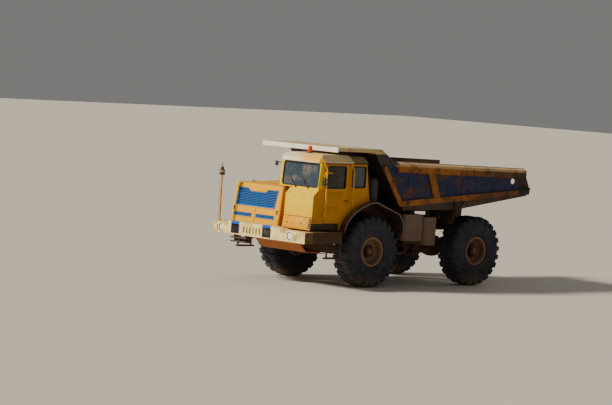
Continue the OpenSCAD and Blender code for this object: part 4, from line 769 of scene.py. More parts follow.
class TruckSizes(PropertyGroup):
    """Sizes that a user of the truck would change."""
    lugs: IntProperty(name="Lugs", description="Lugs round each side of a tyre", default=24, min=12, max=36)
    rail_radius: FloatProperty(name="Handrail radius", description="Radius of the cab's handrails",
                               default=0.016, min=0.008, max=0.03, unit="LENGTH")
    bolt_size: FloatProperty(name="Bolt size", description="Radius of the bolt heads on the bodywork",
                             default=0.014, min=0.006, max=0.03, unit="LENGTH")
    gasket_width: FloatProperty(name="Gasket width", description="Width of the rubber round the windows",
                                default=0.028, min=0.01, max=0.05, unit="LENGTH")


class StageSizes(PropertyGroup):
    """Floor, light and camera."""
    floor: FloatVectorProperty(name="Floor colour", description="Colour of the plain floor", subtype="COLOR",
                               size=4, default=(0.64, 0.60, 0.54, 1.0), min=0.0, max=1.0)
    key: FloatProperty(name="Key light", description="Strength of the soft light ahead", default=4.6, min=0.0)
    fill: FloatProperty(name="Fill light", description="Strength of the light all round",
                        default=0.23, min=0.0)
    azimuth: FloatProperty(name="Azimuth", description="Camera's turn round the truck",
                           default=math.radians(45.50), subtype="ANGLE")
    elevation: FloatProperty(name="Elevation", description="Camera's height as an angle",
                             default=math.radians(3.69), subtype="ANGLE")
    roll: FloatProperty(name="Roll", description="Turn of the picture", default=math.radians(3.76),
                        subtype="ANGLE")
    lens: FloatProperty(name="Lens", description="Focal length in millimetres", default=147.14, min=20.0)
    distance: FloatProperty(name="Distance", description="From the camera to the truck's middle",
                            default=62.30, unit="LENGTH")


def sizes(context):
    return context.scene.truck_sizes


# Half the floor's width
FLOOR_REACH = 140.0
LIGHT_COLOUR = (1.0, 0.92, 0.78)
SKY_COLOUR = (0.86, 0.84, 0.80, 1.0)
# Strength of the light from behind, as a share of the key light's
BACK_SHARE = 0.08
# Millimetres across the camera's sensor, pixels across the picture, and the middle's offset in pixels
SENSOR = 36.0
PICTURE_WIDTH = 612
OFFSET = (75.3, 21.3)


class TRUCK_OT_stage(Operator):
    """Sets up the floor, the lights and the camera"""
    bl_idname = "truck.stage"
    bl_label = "Stage"

    def execute(self, context):
        stage = context.scene.truck_stage
        shape = Shape()
        shape.box((-FLOOR_REACH, -FLOOR_REACH, -0.004), (FLOOR_REACH, FLOOR_REACH, 0))
        mesh = bpy.data.meshes.new("floor")
        shape.mesh.to_mesh(mesh)
        shape.mesh.free()
        finish = Finish("floor_matt")
        colour = finish.mix(finish.noise(0.6, 3.0, 0.5) * 0.1, tuple(stage.floor), (0.5, 0.48, 0.45, 1))
        mesh.materials.append(finish.surface(colour, 0.9))
        floor = bpy.data.objects.new("floor", mesh)
        context.scene.collection.objects.link(floor)
        self.light(context, "key", (-8.0, -17.0, 13.0), 9.0, stage.key)
        self.light(context, "back", (-6.0, 18.0, 13.0), 40.0, stage.key * BACK_SHARE)
        world = bpy.data.worlds.new("studio")
        world.use_nodes = True
        shade = world.node_tree.nodes["Background"]
        shade.inputs["Color"].default_value = SKY_COLOUR
        shade.inputs["Strength"].default_value = stage.fill
        context.scene.world = world
        self.camera(context, stage)
        return {"FINISHED"}

    def light(self, context, name, place, soft, power):
        """A distant light, soft degrees wide, that lights floor and truck evenly."""
        lamp = bpy.data.lights.new(name, "SUN")
        lamp.angle = math.radians(soft)
        lamp.energy = power
        lamp.color = LIGHT_COLOUR
        light = bpy.data.objects.new(name, lamp)
        light.location = place
        aim = Vector((0, 0, 1.2)) - Vector(place)
        light.rotation_euler = aim.to_track_quat("-Z", "Y").to_euler()
        context.scene.collection.objects.link(light)

    def camera(self, context, stage):
        """The photograph's view. The axis is turned to the frame's middle, so the lens needs no shift."""
        a, e, r = stage.azimuth, stage.elevation, stage.roll
        target = Vector((0, FRONT_Y + 1.8, 1.4))
        out = Vector((math.sin(a) * math.cos(e), -math.cos(a) * math.cos(e), math.sin(e)))
        level = Vector((math.cos(a), math.sin(a), 0))
        upright = out.cross(level)
        right = level * math.cos(r) + upright * math.sin(r)
        up = upright * math.cos(r) - level * math.sin(r)
        pixels = stage.lens / SENSOR * PICTURE_WIDTH
        ahead = (-out - right * (OFFSET[0] / pixels) + up * (OFFSET[1] / pixels)).normalized()
        right = (right - ahead * right.dot(ahead)).normalized()
        up = right.cross(ahead)
        turn = Matrix((right, up, -ahead)).transposed()
        lens = bpy.data.cameras.new("camera")
        lens.lens = stage.lens
        lens.clip_end = 600.0
        camera = bpy.data.objects.new("camera", lens)
        camera.matrix_world = Matrix.Translation(target + out * stage.distance) @ turn.to_4x4()
        context.scene.collection.objects.link(camera)
        context.scene.camera = camera


class TRUCK_OT_finishes(Operator):
    """Makes the finishes and gives each CAD node its own"""
    bl_idname = "truck.finishes"
    bl_label = "Finishes"

    def execute(self, context):
        make_finishes()
        for node, finish in CARRIED.items():
            materials = NODES[node].data.materials
            if not materials:
                raise RuntimeError(node + " has no material slot")
            for i in range(len(materials)):
                materials[i] = FINISHES[finish]
        return {"FINISHED"}


class TRUCK_OT_tyres(Operator):
    """Builds the four tyres with their tread"""
    bl_idname = "truck.tyres"
    bl_label = "Tyres"

    def execute(self, context):
        for label, side, y in WHEELS:
            tyre = make_tyre("tread_" + label, side, y, "wheel_" + label, sizes(context).lugs)
            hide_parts("tyre_" + label)
        return {"FINISHED"}


class TRUCK_OT_wheels(Operator):
    """Builds the wheels' rings, nuts, hub caps and valves"""
    bl_idname = "truck.wheels"
    bl_label = "Wheel fittings"

    def execute(self, context):
        for label, side, y in WHEELS:
            make_fittings("wheel_fittings_" + label, side, y, "wheel_" + label, label[0] == "r")
        return {"FINISHED"}


# Bumper, lamps and hitch

LAMP_X = (-1.349, 1.102)
LAMP_Z = 1.205
BEZEL = ((0.084, 0.030), (0.0975, 0.030), (0.0975, 0.003), (0.092, 0.0), (0.086, 0.002), (0.084, 0.008))
BOWL = ((0.083, 0.012), (0.083, 0.02), (0.070, 0.052), (0.045, 0.078), (0.014, 0.088), (0.0, 0.088))
BULB = ((0.0, 0.030), (0.011, 0.034), (0.014, 0.046), (0.014, 0.088))
LAMP_PANE = ((0.0, 0.0035), (0.030, 0.0045), (0.060, 0.0075), (0.0835, 0.0125), (0.0835, 0.0165),
             (0.060, 0.012), (0.030, 0.009), (0.0, 0.008))
# Gap between the ribs of a lamp's pane, and half the longest rib
RIB_STEP = 0.0145
RIB_REACH = 0.078
SQUARE_X = (-0.85, 0.285)
SQUARE_LOW = 1.0905
SQUARE_HIGH = 1.3795
# Inset and depth of the rings of a square lamp's crowned pane
CROWN = ((0.0, 0.044), (0.0, 0.014), (0.006, 0.006), (0.03, 0.002), (0.075, 0.001))
# Left and right edges of the black sheets behind the bumper's slots, put there as painted shade
SLOT_SHADE_EDGES = ((-1.612, -1.452), (-1.246, -1.105), (-0.69, 0.125), (0.77, 0.99), (1.21, 1.36))
# The hitch pin's place across and behind the bumper's face, its foot and its top
PIN_X = -0.73
PIN_DEPTH = 0.06
PIN_LOW = 0.865
PIN_TOP = 1.045
PIN_HEAD = ((0.0, 0.0), (0.040, 0.0), (0.042, 0.006), (0.042, 0.014), (0.036, 0.020), (0.0, 0.020))


def bumper(x, z, depth=0.0):
    """A point behind the bumper's face."""
    return Vector((x, BUMPER_Y + depth, z))


def on_bumper(pair, lift):
    return bumper(*pair, -lift)


class TRUCK_OT_lamps(Operator):
    """Builds the round headlamps and the blue square lamps"""
    bl_idname = "truck.lamps"
    bl_label = "Lamps"

    def execute(self, context):
        bezel = Shape()
        bowl = Shape()
        pane = Shape()
        for x in LAMP_X:
            centre = bumper(x, LAMP_Z, 0.001)
            bezel.spin(BEZEL, centre, Y_AXIS, 56, ring=True)
            bezel.circle_of_bolts(centre + Y_AXIS * 0.012, -Y_AXIS, 0.0905, 3, 0.004, 0.5)
            bowl.spin(BOWL, centre, Y_AXIS)
            bowl.spin(BULB, centre, Y_AXIS, 20)
            pane.spin(LAMP_PANE, centre, Y_AXIS)
            for i in range(-5, 6):
                rib = centre + Vector((i * RIB_STEP, 0.0125, 0))
                reach = Z_AXIS * math.sqrt(RIB_REACH ** 2 - (i * RIB_STEP) ** 2)
                pane.tube([rib - reach, rib + reach], 0.0022, 6)
        head = bezel.piece("headlamp_bezels", "gasket", "lamp", bevel=0.001)
        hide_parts("lamps")
        bowl.piece("headlamp_bowls", "silver", "lamp")
        pane.piece("headlamp_panes", "lens", "lamp")
        box = Shape()
        dark = Shape()
        for x in SQUARE_X:
            outer = soft_rectangle((x - 0.1495, SQUARE_LOW), (x + 0.1495, SQUARE_HIGH), 0.02)
            inner = soft_rectangle((x - 0.118, SQUARE_LOW + 0.026), (x + 0.118, SQUARE_HIGH - 0.062), 0.03)
            box.layers(on_bumper, (outer, -0.109), (outer, -0.006), (outer, -0.001), (inner, -0.001),
                       (inner, -0.045))
            rings = []
            for inset, depth in CROWN:
                radius = max(0.03 - inset / 3, 0.006)
                outline = soft_rectangle((x - 0.112, SQUARE_LOW + 0.032), (x + 0.112, SQUARE_HIGH - 0.068),
                                         radius, grow=-inset)
                rings.append((outline, -depth))
            dark.layers(on_bumper, *rings)
            seats = [bumper(x + side, SQUARE_HIGH - 0.03, 0.0115) for side in (-0.13, 0.13)]
            box.bolts(seats, -Y_AXIS, 0.0085)
        box.piece("square_lamp_housings", "square", "grille", bevel=0.003)
        dark.piece("square_lamp_panes", "dark_lens", "lamp")
        return {"FINISHED"}


class TRUCK_OT_bumper_trim(Operator):
    """Builds the bumper's bolts, black sheets of painted shade behind its slots, and the pin of the hitch"""
    bl_idname = "truck.bumper_trim"
    bl_label = "Bumper trim"

    def execute(self, context):
        size = sizes(context).bolt_size
        bolts = Shape()
        seats = [bumper(x, z, size) for x in (-1.56, -1.16, 0.62, 0.80, 1.50) for z in (1.11, 1.27)]
        bolts.bolts(seats, -Y_AXIS, size * 0.9)
        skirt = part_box("side_steps")[1].x - size * 0.98
        for hand in (-1, 1):
            seats = [front(hand * skirt, y, z) for y in (-1.93, -1.66, -1.38, -1.16) for z in (1.10, 1.29)]
            bolts.bolts(seats, X_AXIS * hand, size)
        bolts.piece("skirt_bolts", "dark_steel", "dark_steel")
        # Black sheets behind the slots: painted shade.
        shade_sheets = Shape()
        for x0, x1 in SLOT_SHADE_EDGES:
            shade_sheets.box(bumper(x0, 1.085, 0.070), bumper(x1, 1.308, 0.073))
        shade_sheets.piece("bumper_slot_shade_sheets", "black", "trim")
        hitch = Shape()
        hitch.rod(bumper(PIN_X, PIN_LOW, PIN_DEPTH), bumper(PIN_X, PIN_TOP, PIN_DEPTH), 0.0245, sides=28)
        hitch.spin(PIN_HEAD, bumper(PIN_X, PIN_TOP - 0.039, PIN_DEPTH), Z_AXIS, 32)
        corners = ((-0.03, 0.0), (-0.03, 0.011), (0.03, 0.011), (0.03, 0.0))
        grip = [bumper(PIN_X + side, PIN_TOP + rise, PIN_DEPTH) for side, rise in corners]
        hitch.tube(rounded(grip, 0.01), 0.005, 8)
        links = 15
        chain = []
        for i in range(links):
            t = i / (links - 1)
            sag = 0.10 * math.sin(math.pi * t) + 0.02 * t
            chain.append(bumper(PIN_X + 0.04 + 0.20 * t, PIN_TOP - 0.025 - sag, PIN_DEPTH + 0.03))
        for a, b in zip(chain[::2], chain[1::2]):
            hitch.tube([a, b], 0.0045, 8)
        seats = [bumper(PIN_X + side, z, 0.118) for side in (-0.22, 0.22) for z in (0.916, 0.974)]
        hitch.bolts(seats, -Y_AXIS, 0.016)
        hitch.piece("hitch_pin", "dark_steel", "dark_steel", bevel=0.001)
        return {"FINISHED"}


# Hood

HOOD_LOW = 1.357
HOOD_HIGH = 2.30
HOOD_X0 = -1.545
HOOD_X1 = 0.205
HOOD_FOOT = -1.85
HOOD_LEAN = 0.12
HOOD_RISE = 0.0335
HOOD_SEAMS = (-1.35, -0.72)
# Rear and front edge and foot of each louvred door on the right
SIDE_DOORS = ((-1.28, -0.79, 1.78), (-0.65, -0.20, 2.0))
LOUVRE_STEP = 0.052
# Inset, rise and lift of the three edges of a louvre
LOUVRE = ((0.0, 0.0, 0.006), (0.01, 0.006, 0.026), (0.0, 0.030, 0.006))
GRILLE_X = (HOOD_X0 + HOOD_X1) / 2
GRILLE_Z = 1.735
GRILLE_H = 0.45
GRILLE_HALF = 0.725
# Half the width of the notch in the grille's top
NOTCH_HALF = 0.35


def hood_face(x, z, out=0.0):
    """A point on the hood's leaning face, out metres ahead of it."""
    return front(x, HOOD_FOOT + HOOD_LEAN * (z - HOOD_LOW) / (HOOD_HIGH - HOOD_LOW) - out, z)


def on_hood(pair, lift):
    return hood_face(*pair, lift)


def hood_top(x, y, lift=0.0):
    """A point on the hood's top, which rises to the back."""
    return front(x, y, HOOD_HIGH + (y - HOOD_FOOT - HOOD_LEAN) * HOOD_RISE + lift)


def on_hood_top(pair, lift):
    return hood_top(*pair, lift)


class TRUCK_OT_hood_trim(Operator):
    """Builds the hood's seams, grille frame, latches, lifting eyes and side louvres"""
    bl_idname = "truck.hood_trim"
    bl_label = "Hood trim"

    def execute(self, context):
        self.grille_frame()
        seams = Shape()
        seams.slab(on_hood, rectangle(GRILLE_X - 0.007, 1.372, GRILLE_X + 0.007, 1.718), -0.004, 0.0015)
        for y in HOOD_SEAMS:
            line = rectangle(HOOD_X0 + 0.10, y - 0.006, HOOD_X1 - 0.10, y + 0.006)
            seams.slab(on_hood_top, line, -0.004, 0.001)
            seams.box(front(HOOD_X0 - 0.001, y - 0.006, 1.72),
                      front(HOOD_X0 + 0.004, y + 0.006, HOOD_HIGH - 0.10))
        seams.piece("hood_seams", "gasket", "trim")
        self.side_doors()
        metal = Shape()
        for y in (-1.72, -1.5, -1.1, -0.45, -0.15):
            metal.bolts([hood_top(x, y, -0.0005) for x in (HOOD_X0 + 0.14, HOOD_X1 - 0.14)], Z_AXIS, 0.011)
        for x in (HOOD_X0 + 0.30, HOOD_X1 - 0.30):
            turns = [math.pi * i / 10 for i in range(11)]
            eye = [hood_top(x, -1.42 + 0.05 * math.cos(a), 0.05 * math.sin(a) - 0.006) for a in turns]
            metal.tube(eye, 0.009, 10)
        for x in (HOOD_X0 + 0.10, HOOD_X1 - 0.10):
            latch = hood_face(x, 1.66)
            metal.box_at(latch, (-0.014, -0.016, -0.05), (0.014, 0.004, 0.05))
            metal.box_at(latch, (-0.022, -0.009, 0.03), (0.022, 0.004, 0.058))
        metal.piece("hood_fasteners", "dark_steel", "dark_steel", bevel=0.001)
        return {"FINISHED"}

    def grille_frame(self):
        """Raised frames round the grille and its two low slots, with the blank plate above."""
        w = GRILLE_HALF
        n = NOTCH_HALF
        top = GRILLE_Z + GRILLE_H
        outline = [(-w - 0.025, GRILLE_Z), (w - 0.062, GRILLE_Z), (w, top), (n, top),
                   (n - 0.095, top - 0.066), (-n + 0.095, top - 0.066), (-n, top), (-w, top)]
        grown = [(GRILLE_X + a * 1.016, (b - GRILLE_Z - 0.2) * 1.04 + GRILLE_Z + 0.2) for a, b in outline]
        shape = Shape()
        shape.band(grown, 0.018, 0.010, on_hood)
        for side in (-0.4045, 0.4045):
            middle = GRILLE_X - 0.038 + side
            slot = soft_rectangle((middle - 0.3385, 1.471), (middle + 0.3385, 1.593), 0.012, 2)
            shape.band(slot, 0.014, 0.008, on_hood)
        blank = soft_rectangle((GRILLE_X - 0.20, 2.128), (GRILLE_X + 0.20, 2.168), 0.012, 2)
        shape.slab(on_hood, blank, -0.003, 0.006)
        shape.piece("grille_frame", "hood", "hood")

    def side_doors(self):
        shape = Shape()
        place = wall(HOOD_X0, -1)
        for y0, y1, low in SIDE_DOORS:
            corners = ((y0, low), (y1, 2.14))
            outer = soft_rectangle(*corners, 0.03)
            tight = soft_rectangle(*corners, 0.026, grow=-0.008)
            shape.layers(place, (outer, -0.004), (outer, 0.004), (tight, 0.007))
            reach = (y1 - y0) / 2 - 0.065
            for i in range(int((2.10 - low) / LOUVRE_STEP)):
                z = low + 0.035 + i * LOUVRE_STEP
                for y in (y0 + 0.05, (y0 + y1) / 2 + 0.015):
                    rows = [[place((y + inset, z + rise), lift), place((y + reach - inset, z + rise), lift)]
                            for inset, rise, lift in LOUVRE]
                    shape.loft(rows, closed=False, caps=False)
        shape.piece("hood_side_doors", "hood", "hood", bevel=0.0015)


# Cab

CAB_X0 = 0.01
CAB_X1 = 1.42
NOSE_X0 = 0.44
ROOF_Z = 2.961
LEDGE = (-1.7036, 2.330)
NOSE = ((1.364, -1.942), (1.665, -1.890), (2.180, -1.874), (2.330, -1.7036))


def shield_y(z):
    """Front axle to the plane of the windshield at height z."""
    return -1.65 - (ROOF_Z - z) * 0.085


def face_y(z):
    """Front axle to the front of the cab's nose at height z."""
    for (low, y0), (high, y1) in zip(NOSE, NOSE[1:]):
        if z <= high:
            return y0 + (y1 - y0) * (z - low) / (high - low)
    return shield_y(z)


def cab_face(x, z, out=0.0):
    """A point out metres ahead of the cab's nose."""
    return front(x, face_y(z) - out, z)


def on_cab(pair, lift):
    return cab_face(*pair, lift)


def on_shield(pair, lift):
    return front(pair[0], shield_y(pair[1]) - lift, pair[1])


def on_cab_back(pair, lift):
    return front(pair[0], -0.19 + (ROOF_Z - pair[1]) * 0.1598 + lift, pair[1])


# Each window's lower and upper corner, corner radius and plane
WINDOWS = {
    "windshield": ((CAB_X0 + 0.085, 2.370), (CAB_X1 - 0.075, 2.922), 0.06, on_shield),
    "quarter": ((-0.655, 2.39), (-0.215, 2.885), 0.035, wall(CAB_X1)),
    "right": ((-1.52, 2.446), (-0.65, 2.885), 0.04, wall(CAB_X0, -1)),
    "rear": ((CAB_X0 + 0.15, 2.456), (CAB_X1 - 0.17, 2.85), 0.04, on_cab_back),
    "door": ((-1.454, 2.365), (-0.863, 2.885), 0.04, wall(CAB_X1)),
}


class TRUCK_OT_gaskets(Operator):
    """Builds the rubber round the windows"""
    bl_idname = "truck.gaskets"
    bl_label = "Window gaskets"

    def execute(self, context):
        width = sizes(context).gasket_width
        grow = width * 0.45
        for name, (low, high, radius, place) in WINDOWS.items():
            shape = Shape()
            shape.band(soft_rectangle(low, high, radius + grow, grow=grow), width, 0.009, place)
            shape.piece("gasket_" + name, "gasket", "trim", "door" if name == "door" else "root")
        return {"FINISHED"}


FLAP = ((0.44, 1.378), (1.335, 1.378), (1.25, 1.655), (0.53, 1.655))
FLAP_FACE = ((0.452, 1.388), (1.321, 1.388), (1.242, 1.646), (0.539, 1.646))
# Section of the lip along the roof's brow, as (y, z)
BROW_LIP = ((-1.683, 0.004), (-1.711, -0.010), (-1.713, -0.002), (-1.683, 0.018))


class TRUCK_OT_cab_trim(Operator):
    """Builds the flap on the cab's front, its vent, the brow's lip, the gutter, seams and bolts"""
    bl_idname = "truck.cab_trim"
    bl_label = "Cab trim"

    def execute(self, context):
        flap = Shape()
        flap.layers(on_cab, (FLAP, -0.003), (FLAP, 0.006), (FLAP_FACE, 0.010))
        for x in (0.60, 1.18):
            flap.box(cab_face(x - 0.03, 1.60, 0.014), cab_face(x + 0.03, 1.668, 0.002))
        flap.piece("cab_flap", "cab", "cab", bevel=0.002)
        dark = Shape()
        dark.slab(on_cab, rectangle(NOSE_X0 + 0.004, 1.658, CAB_X1 - 0.006, 1.668), -0.002, 0.004)
        dark.slab(on_cab, rectangle(1.345, 1.40, 1.408, 1.645), -0.001, 0.004)
        for x in (0.62, 1.10):
            dark.rod(cab_face(x, 1.50, 0.004), cab_face(x, 1.50, 0.026), 0.014, sides=18)
        dark.piece("cab_flap_seam", "gasket", "trim")
        slats = Shape()
        for z in (1.408, 1.456, 1.504, 1.552, 1.600):
            slat = ((1.347, z), (1.406, z + 0.012), (1.406, z + 0.034), (1.347, z + 0.022))
            slats.slab(on_cab, slat, 0.0045, 0.0075)
        slats.piece("corner_vent", "lip", "roof")
        brow = Shape()
        brow.loft([[front(x, y, ROOF_Z + z) for y, z in BROW_LIP] for x in (CAB_X0 + 0.07, CAB_X1 - 0.085)])
        brow.piece("brow_lip", "white_paint", "roof")
        gutter = Shape()
        for z in (ROOF_Z - 0.018, ROOF_Z + 0.004):
            gutter.box(front(CAB_X1 + 0.0005, -1.66, z), front(CAB_X1 + 0.0245, -0.20, z + 0.006))
        side = CAB_X1 - 0.0005
        gutter.bolts([front(side, -1.84, z) for z in (1.62, 1.90, 2.12)], X_AXIS, 0.009)
        seats = [front(side, y, z) for y in (-0.66, -0.62) for z in (1.75, 1.95, 2.15, 2.30)]
        gutter.bolts(seats, X_AXIS, 0.006)
        gutter.bolts([cab_face(x, 2.14) for x in (0.50, 0.78, 1.08, 1.36)], -Y_AXIS, 0.009)
        gutter.piece("cab_gutter", "dark_steel", "dark_steel")
        return {"FINISHED"}


HANDLE_Z = 2.068


class TRUCK_OT_door_trim(Operator):
    """Builds the door's pressings, lock, pull and hinge straps"""
    bl_idname = "truck.door_trim"
    bl_label = "Door trim"

    def execute(self, context):
        panel = Shape()
        for corners in (((-1.45, 1.98), (-0.95, 2.27)), ((-1.45, 1.70), (-1.05, 1.93))):
            outer = soft_rectangle(*corners, 0.03)
            tight = soft_rectangle(*corners, 0.025, grow=-0.01)
            panel.layers(wall(CAB_X1), (outer, -0.002), (tight, 0.006))
        panel.piece("door_pressings", "cab", "cab", "door")
        strap = Shape()
        for z in (1.785, 2.725):
            strap.box(front(CAB_X1 - 0.001, -1.50, z - 0.022), front(CAB_X1 + 0.007, -1.30, z + 0.022))
            strap.bolts([front(CAB_X1 + 0.0065, y, z) for y in (-1.46, -1.40, -1.34)], X_AXIS, 0.007)
        strap.piece("door_straps", "cab", "cab", "door", bevel=0.0015)
        metal = Shape()
        grip_x = CAB_X1 + 0.036
        for y in (-0.872, -0.795):
            metal.rod(front(CAB_X1 - 0.002, y, HANDLE_Z), front(grip_x, y, HANDLE_Z), 0.009, sides=12)
        metal.tube([front(grip_x, -0.885, HANDLE_Z), front(grip_x, -0.78, HANDLE_Z)], 0.011, 12)
        lock = ((0.0, 0.012), (0.013, 0.012), (0.016, 0.008), (0.016, 0.0))
        metal.spin(lock, front(CAB_X1 - 0.001, -0.835, 2.00), X_AXIS, 20)
        metal.piece("door_handle", "gasket", "trim", "door", bevel=0.001)
        return {"FINISHED"}


class TRUCK_OT_wipers(Operator):
    """Builds the two wipers with their pivots, arms and blades"""
    bl_idname = "truck.wipers"
    bl_label = "Wipers"

    def execute(self, context):
        shape = Shape()
        cap = ((0.0, 0.034), (0.012, 0.034), (0.018, 0.026), (0.020, 0.0))
        rise = 0.16
        for x in (0.60, 1.03):
            pivot = front(x, LEDGE[0] - 0.001, LEDGE[1] + 0.015)
            shape.spin(cap, pivot, -Y_AXIS, 20)
            start = pivot - Y_AXIS * 0.026
            end = front(x - rise, shield_y(LEDGE[1] + rise) - 0.036, LEDGE[1] + 0.015 + rise)
            shape.tube([start, start.lerp(end, 0.35) - Y_AXIS * 0.004, end], 0.0055, 8)
            along = (end - start).normalized()
            low = end - along * 0.11
            high = end + along * 0.14
            shape.tube([low + Y_AXIS * 0.014, high + Y_AXIS * 0.024], 0.006, 8)
            shape.tube([low + Y_AXIS * 0.022, high + Y_AXIS * 0.032], 0.0035, 6)
            shape.box_at(end, (-0.008, -0.004, -0.010), (0.008, 0.016, 0.010))
        piece = shape.piece("wiper_arms", "gasket", "wiper")
        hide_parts("wipers")
        return {"FINISHED"}


# Each rail's distance out from the cab, place along it, foot and top
RAILS = ((0.10, -1.57, 1.64, 2.885), (0.08, -0.675, 1.965, 2.885))
RAIL_FOOT = ((0.0, 0.0), (0.036, 0.0), (0.036, 0.006), (0.020, 0.010), (0.0, 0.010))
MIRROR_X = CAB_X1 + 0.10


class TRUCK_OT_rails(Operator):
    """Builds the cab's handrails and its mirrors"""
    bl_idname = "truck.rails"
    bl_label = "Handrails and mirrors"

    def execute(self, context):
        shape = Shape()
        for out, y, low, high in RAILS:
            x = CAB_X1 + out
            foot = low + 0.02
            path = [front(CAB_X1 + 0.0005, y, foot), front(x, y, foot), front(x, y, high - 0.09),
                    front(x - 0.03, y - 0.03, high), front(CAB_X1 + 0.03, y - 0.05, ROOF_Z + 0.006)]
            shape.tube(rounded(path, 0.05, 6), sizes(context).rail_radius, 16)
            shape.spin(RAIL_FOOT, front(CAB_X1 + 0.0002, y, foot), X_AXIS, 24)
            shape.bolts([front(CAB_X1 + 0.006, y + side, foot) for side in (-0.027, 0.027)], X_AXIS, 0.005)
        rails = shape.piece("cab_rails", "rail", "cab")
        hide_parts("handrails")
        arm = Shape()
        for z in (2.468, 2.578):
            clamp = front(MIRROR_X, -1.57, z)
            arm.tube([clamp, clamp - Y_AXIS * 0.06, clamp - Y_AXIS * 0.092], 0.007, 10)
            arm.collar(0.014, 0.021, -0.012, 0.012, clamp, Z_AXIS, 20)
        elbow = [front(CAB_X0 - 0.0005, -1.58, 2.872), front(CAB_X0 - 0.22, -1.58, 2.872),
                 front(CAB_X0 - 0.245, -1.60, 2.84)]
        arm.tube(rounded(elbow, 0.03), 0.009, 10)
        large = soft_rectangle((MIRROR_X - 0.054, 2.421), (MIRROR_X + 0.054, 2.609), 0.02)
        large_face = soft_rectangle((MIRROR_X - 0.046, 2.43), (MIRROR_X + 0.046, 2.60), 0.016)
        corners = ((CAB_X0 - 0.309, 2.781), (CAB_X0 - 0.201, 2.899))
        small = soft_rectangle(*corners, 0.02)
        small_face = soft_rectangle(*corners, 0.016, grow=-0.008)
        arm.layers(facing_front(-1.660), (large, 0.0), (large, 0.010), (large_face, 0.017))
        arm.layers(facing_front(-1.592), (small, 0.0), (small, 0.010), (small_face, 0.016))
        arm.piece("mirror_arms", "gasket", "trim", bevel=0.002)
        pane = Shape()
        pane.slab(facing_front(-1.660), large_face, 0.0005, -0.0015)
        pane.slab(facing_front(-1.592), small_face, 0.0005, -0.0015)
        pane.piece("mirror_panes", "mirror", "lamp")
        return {"FINISHED"}


class TRUCK_OT_beacon(Operator):
    """Builds the orange beacon on the roof"""
    bl_idname = "truck.beacon"
    bl_label = "Beacon"

    def execute(self, context):
        low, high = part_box("beacon")
        centre = Vector(((low.x + high.x) / 2, (low.y + high.y) / 2, low.z))
        tall = high.z - low.z
        wide = (high.x - low.x) / 2
        base = Shape()
        plinth = ((0.0, 0.0), (0.97, 0.0), (0.98, 0.018), (0.90, 0.026), (0.0, 0.026))
        base.spin([(a * wide, b) for a, b in plinth], centre, Z_AXIS)
        base.circle_of_bolts(centre + Z_AXIS * 0.02, Z_AXIS, wide * 0.93, 4, 0.003, 0.4)
        base.piece("beacon_base", "gasket", "beacon", bevel=0.001)
        outline = [(0.0, 0.026), (0.86, 0.026)]
        for i in range(6):
            outline += [(0.87, 0.032 + i * 0.014), (0.84, 0.040 + i * 0.014)]
        outline += [(0.80, 0.130), (0.68, 0.152), (0.44, tall - 0.006), (0.18, tall - 0.001),
                    (0.0, tall - 0.001)]
        dome = Shape()
        dome.spin([(a * wide, b) for a, b in outline], centre, Z_AXIS)
        piece = dome.piece("beacon_dome", "beacon", "beacon")
        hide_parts("beacon")
        return {"FINISHED"}


# Profiles of the marker pole's parts, heights from its foot
POST = ((0.0, 0.0), (0.059, 0.0), (0.059, 0.010), (0.040, 0.014), (0.034, 0.050), (0.0245, 0.058),
        (0.0235, 1.10), (0.034, 1.110), (0.040, 1.116), (0.0, 1.116))
LANTERN = ((0.0, 1.117), (0.060, 1.117), (0.066, 1.124), (0.067, 1.150), (0.066, 1.176), (0.058, 1.184),
           (0.0, 1.184))
LANTERN_TOP = ((0.0, 1.185), (0.060, 1.185), (0.064, 1.190), (0.064, 1.214), (0.0, 1.216))
CAP = ((0.0, 1.216), (0.076, 1.216), (0.079, 1.224), (0.074, 1.232), (0.050, 1.246), (0.044, 1.296),
       (0.030, 1.312), (0.010, 1.320), (0.0075, 1.402), (0.0, 1.405))


class TRUCK_OT_marker_pole(Operator):
    """Builds the lantern, collars and stay wires of the marker pole"""
    bl_idname = "truck.marker_pole"
    bl_label = "Marker pole"

    def execute(self, context):
        low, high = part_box("marker_pole")
        foot = Vector(((low.x + high.x) / 2, (low.y + high.y) / 2, low.z))
        pole = Shape()
        pole.spin(POST, foot, Z_AXIS, 32)
        for z in (0.30, 0.72, 1.02):
            collar = ((0.024, z), (0.031, z + 0.002), (0.031, z + 0.026), (0.024, z + 0.028))
            pole.spin(collar, foot, Z_AXIS, 28, ring=True)
        pole.circle_of_bolts(foot + Z_AXIS * 0.009, Z_AXIS, 0.048, 4, 0.006, 0.7)
        post = pole.piece("pole_post", "pole", "pole")
        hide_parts("marker_pole")
        for name, profile, finish in (("pole_lantern", LANTERN, "amber"),
                                      ("pole_lantern_top", LANTERN_TOP, "white_paint")):
            lamp = Shape()
            lamp.spin(profile, foot, Z_AXIS, 36)
            lamp.piece(name, finish, "beacon")
        cap = Shape()
        cap.spin(CAP, foot, Z_AXIS, 36)
        for spoke in spokes(6):
            outer = foot + spoke * 0.0745
            cap.tube([foot + spoke * 0.040 + Z_AXIS * 1.108, outer + Z_AXIS * 1.122, outer + Z_AXIS * 1.222],
                     0.0035, 6)
        for side in (-0.058, 0.030):
            wire = [foot + Vector((side, 0.0, z)) for z in (0.012, 0.45, 0.92)]
            cap.tube(wire + [foot + Vector((side * 0.45, 0.0, 1.03))], 0.0035, 6)
        for z in (0.52, 0.60):
            cap.box_at(foot, (-0.062, -0.004, z), (0.034, 0.004, z + 0.010))
        cap.piece("pole_cap", "dark_steel", "pole")
        return {"FINISHED"}


# Interior

SEAT_X = 0.8275
SEAT_Z = 1.8403
PAD_POINTS = 40
# How square a pad's outline is: 1 is round, 0 square
PAD_POWER = 0.38


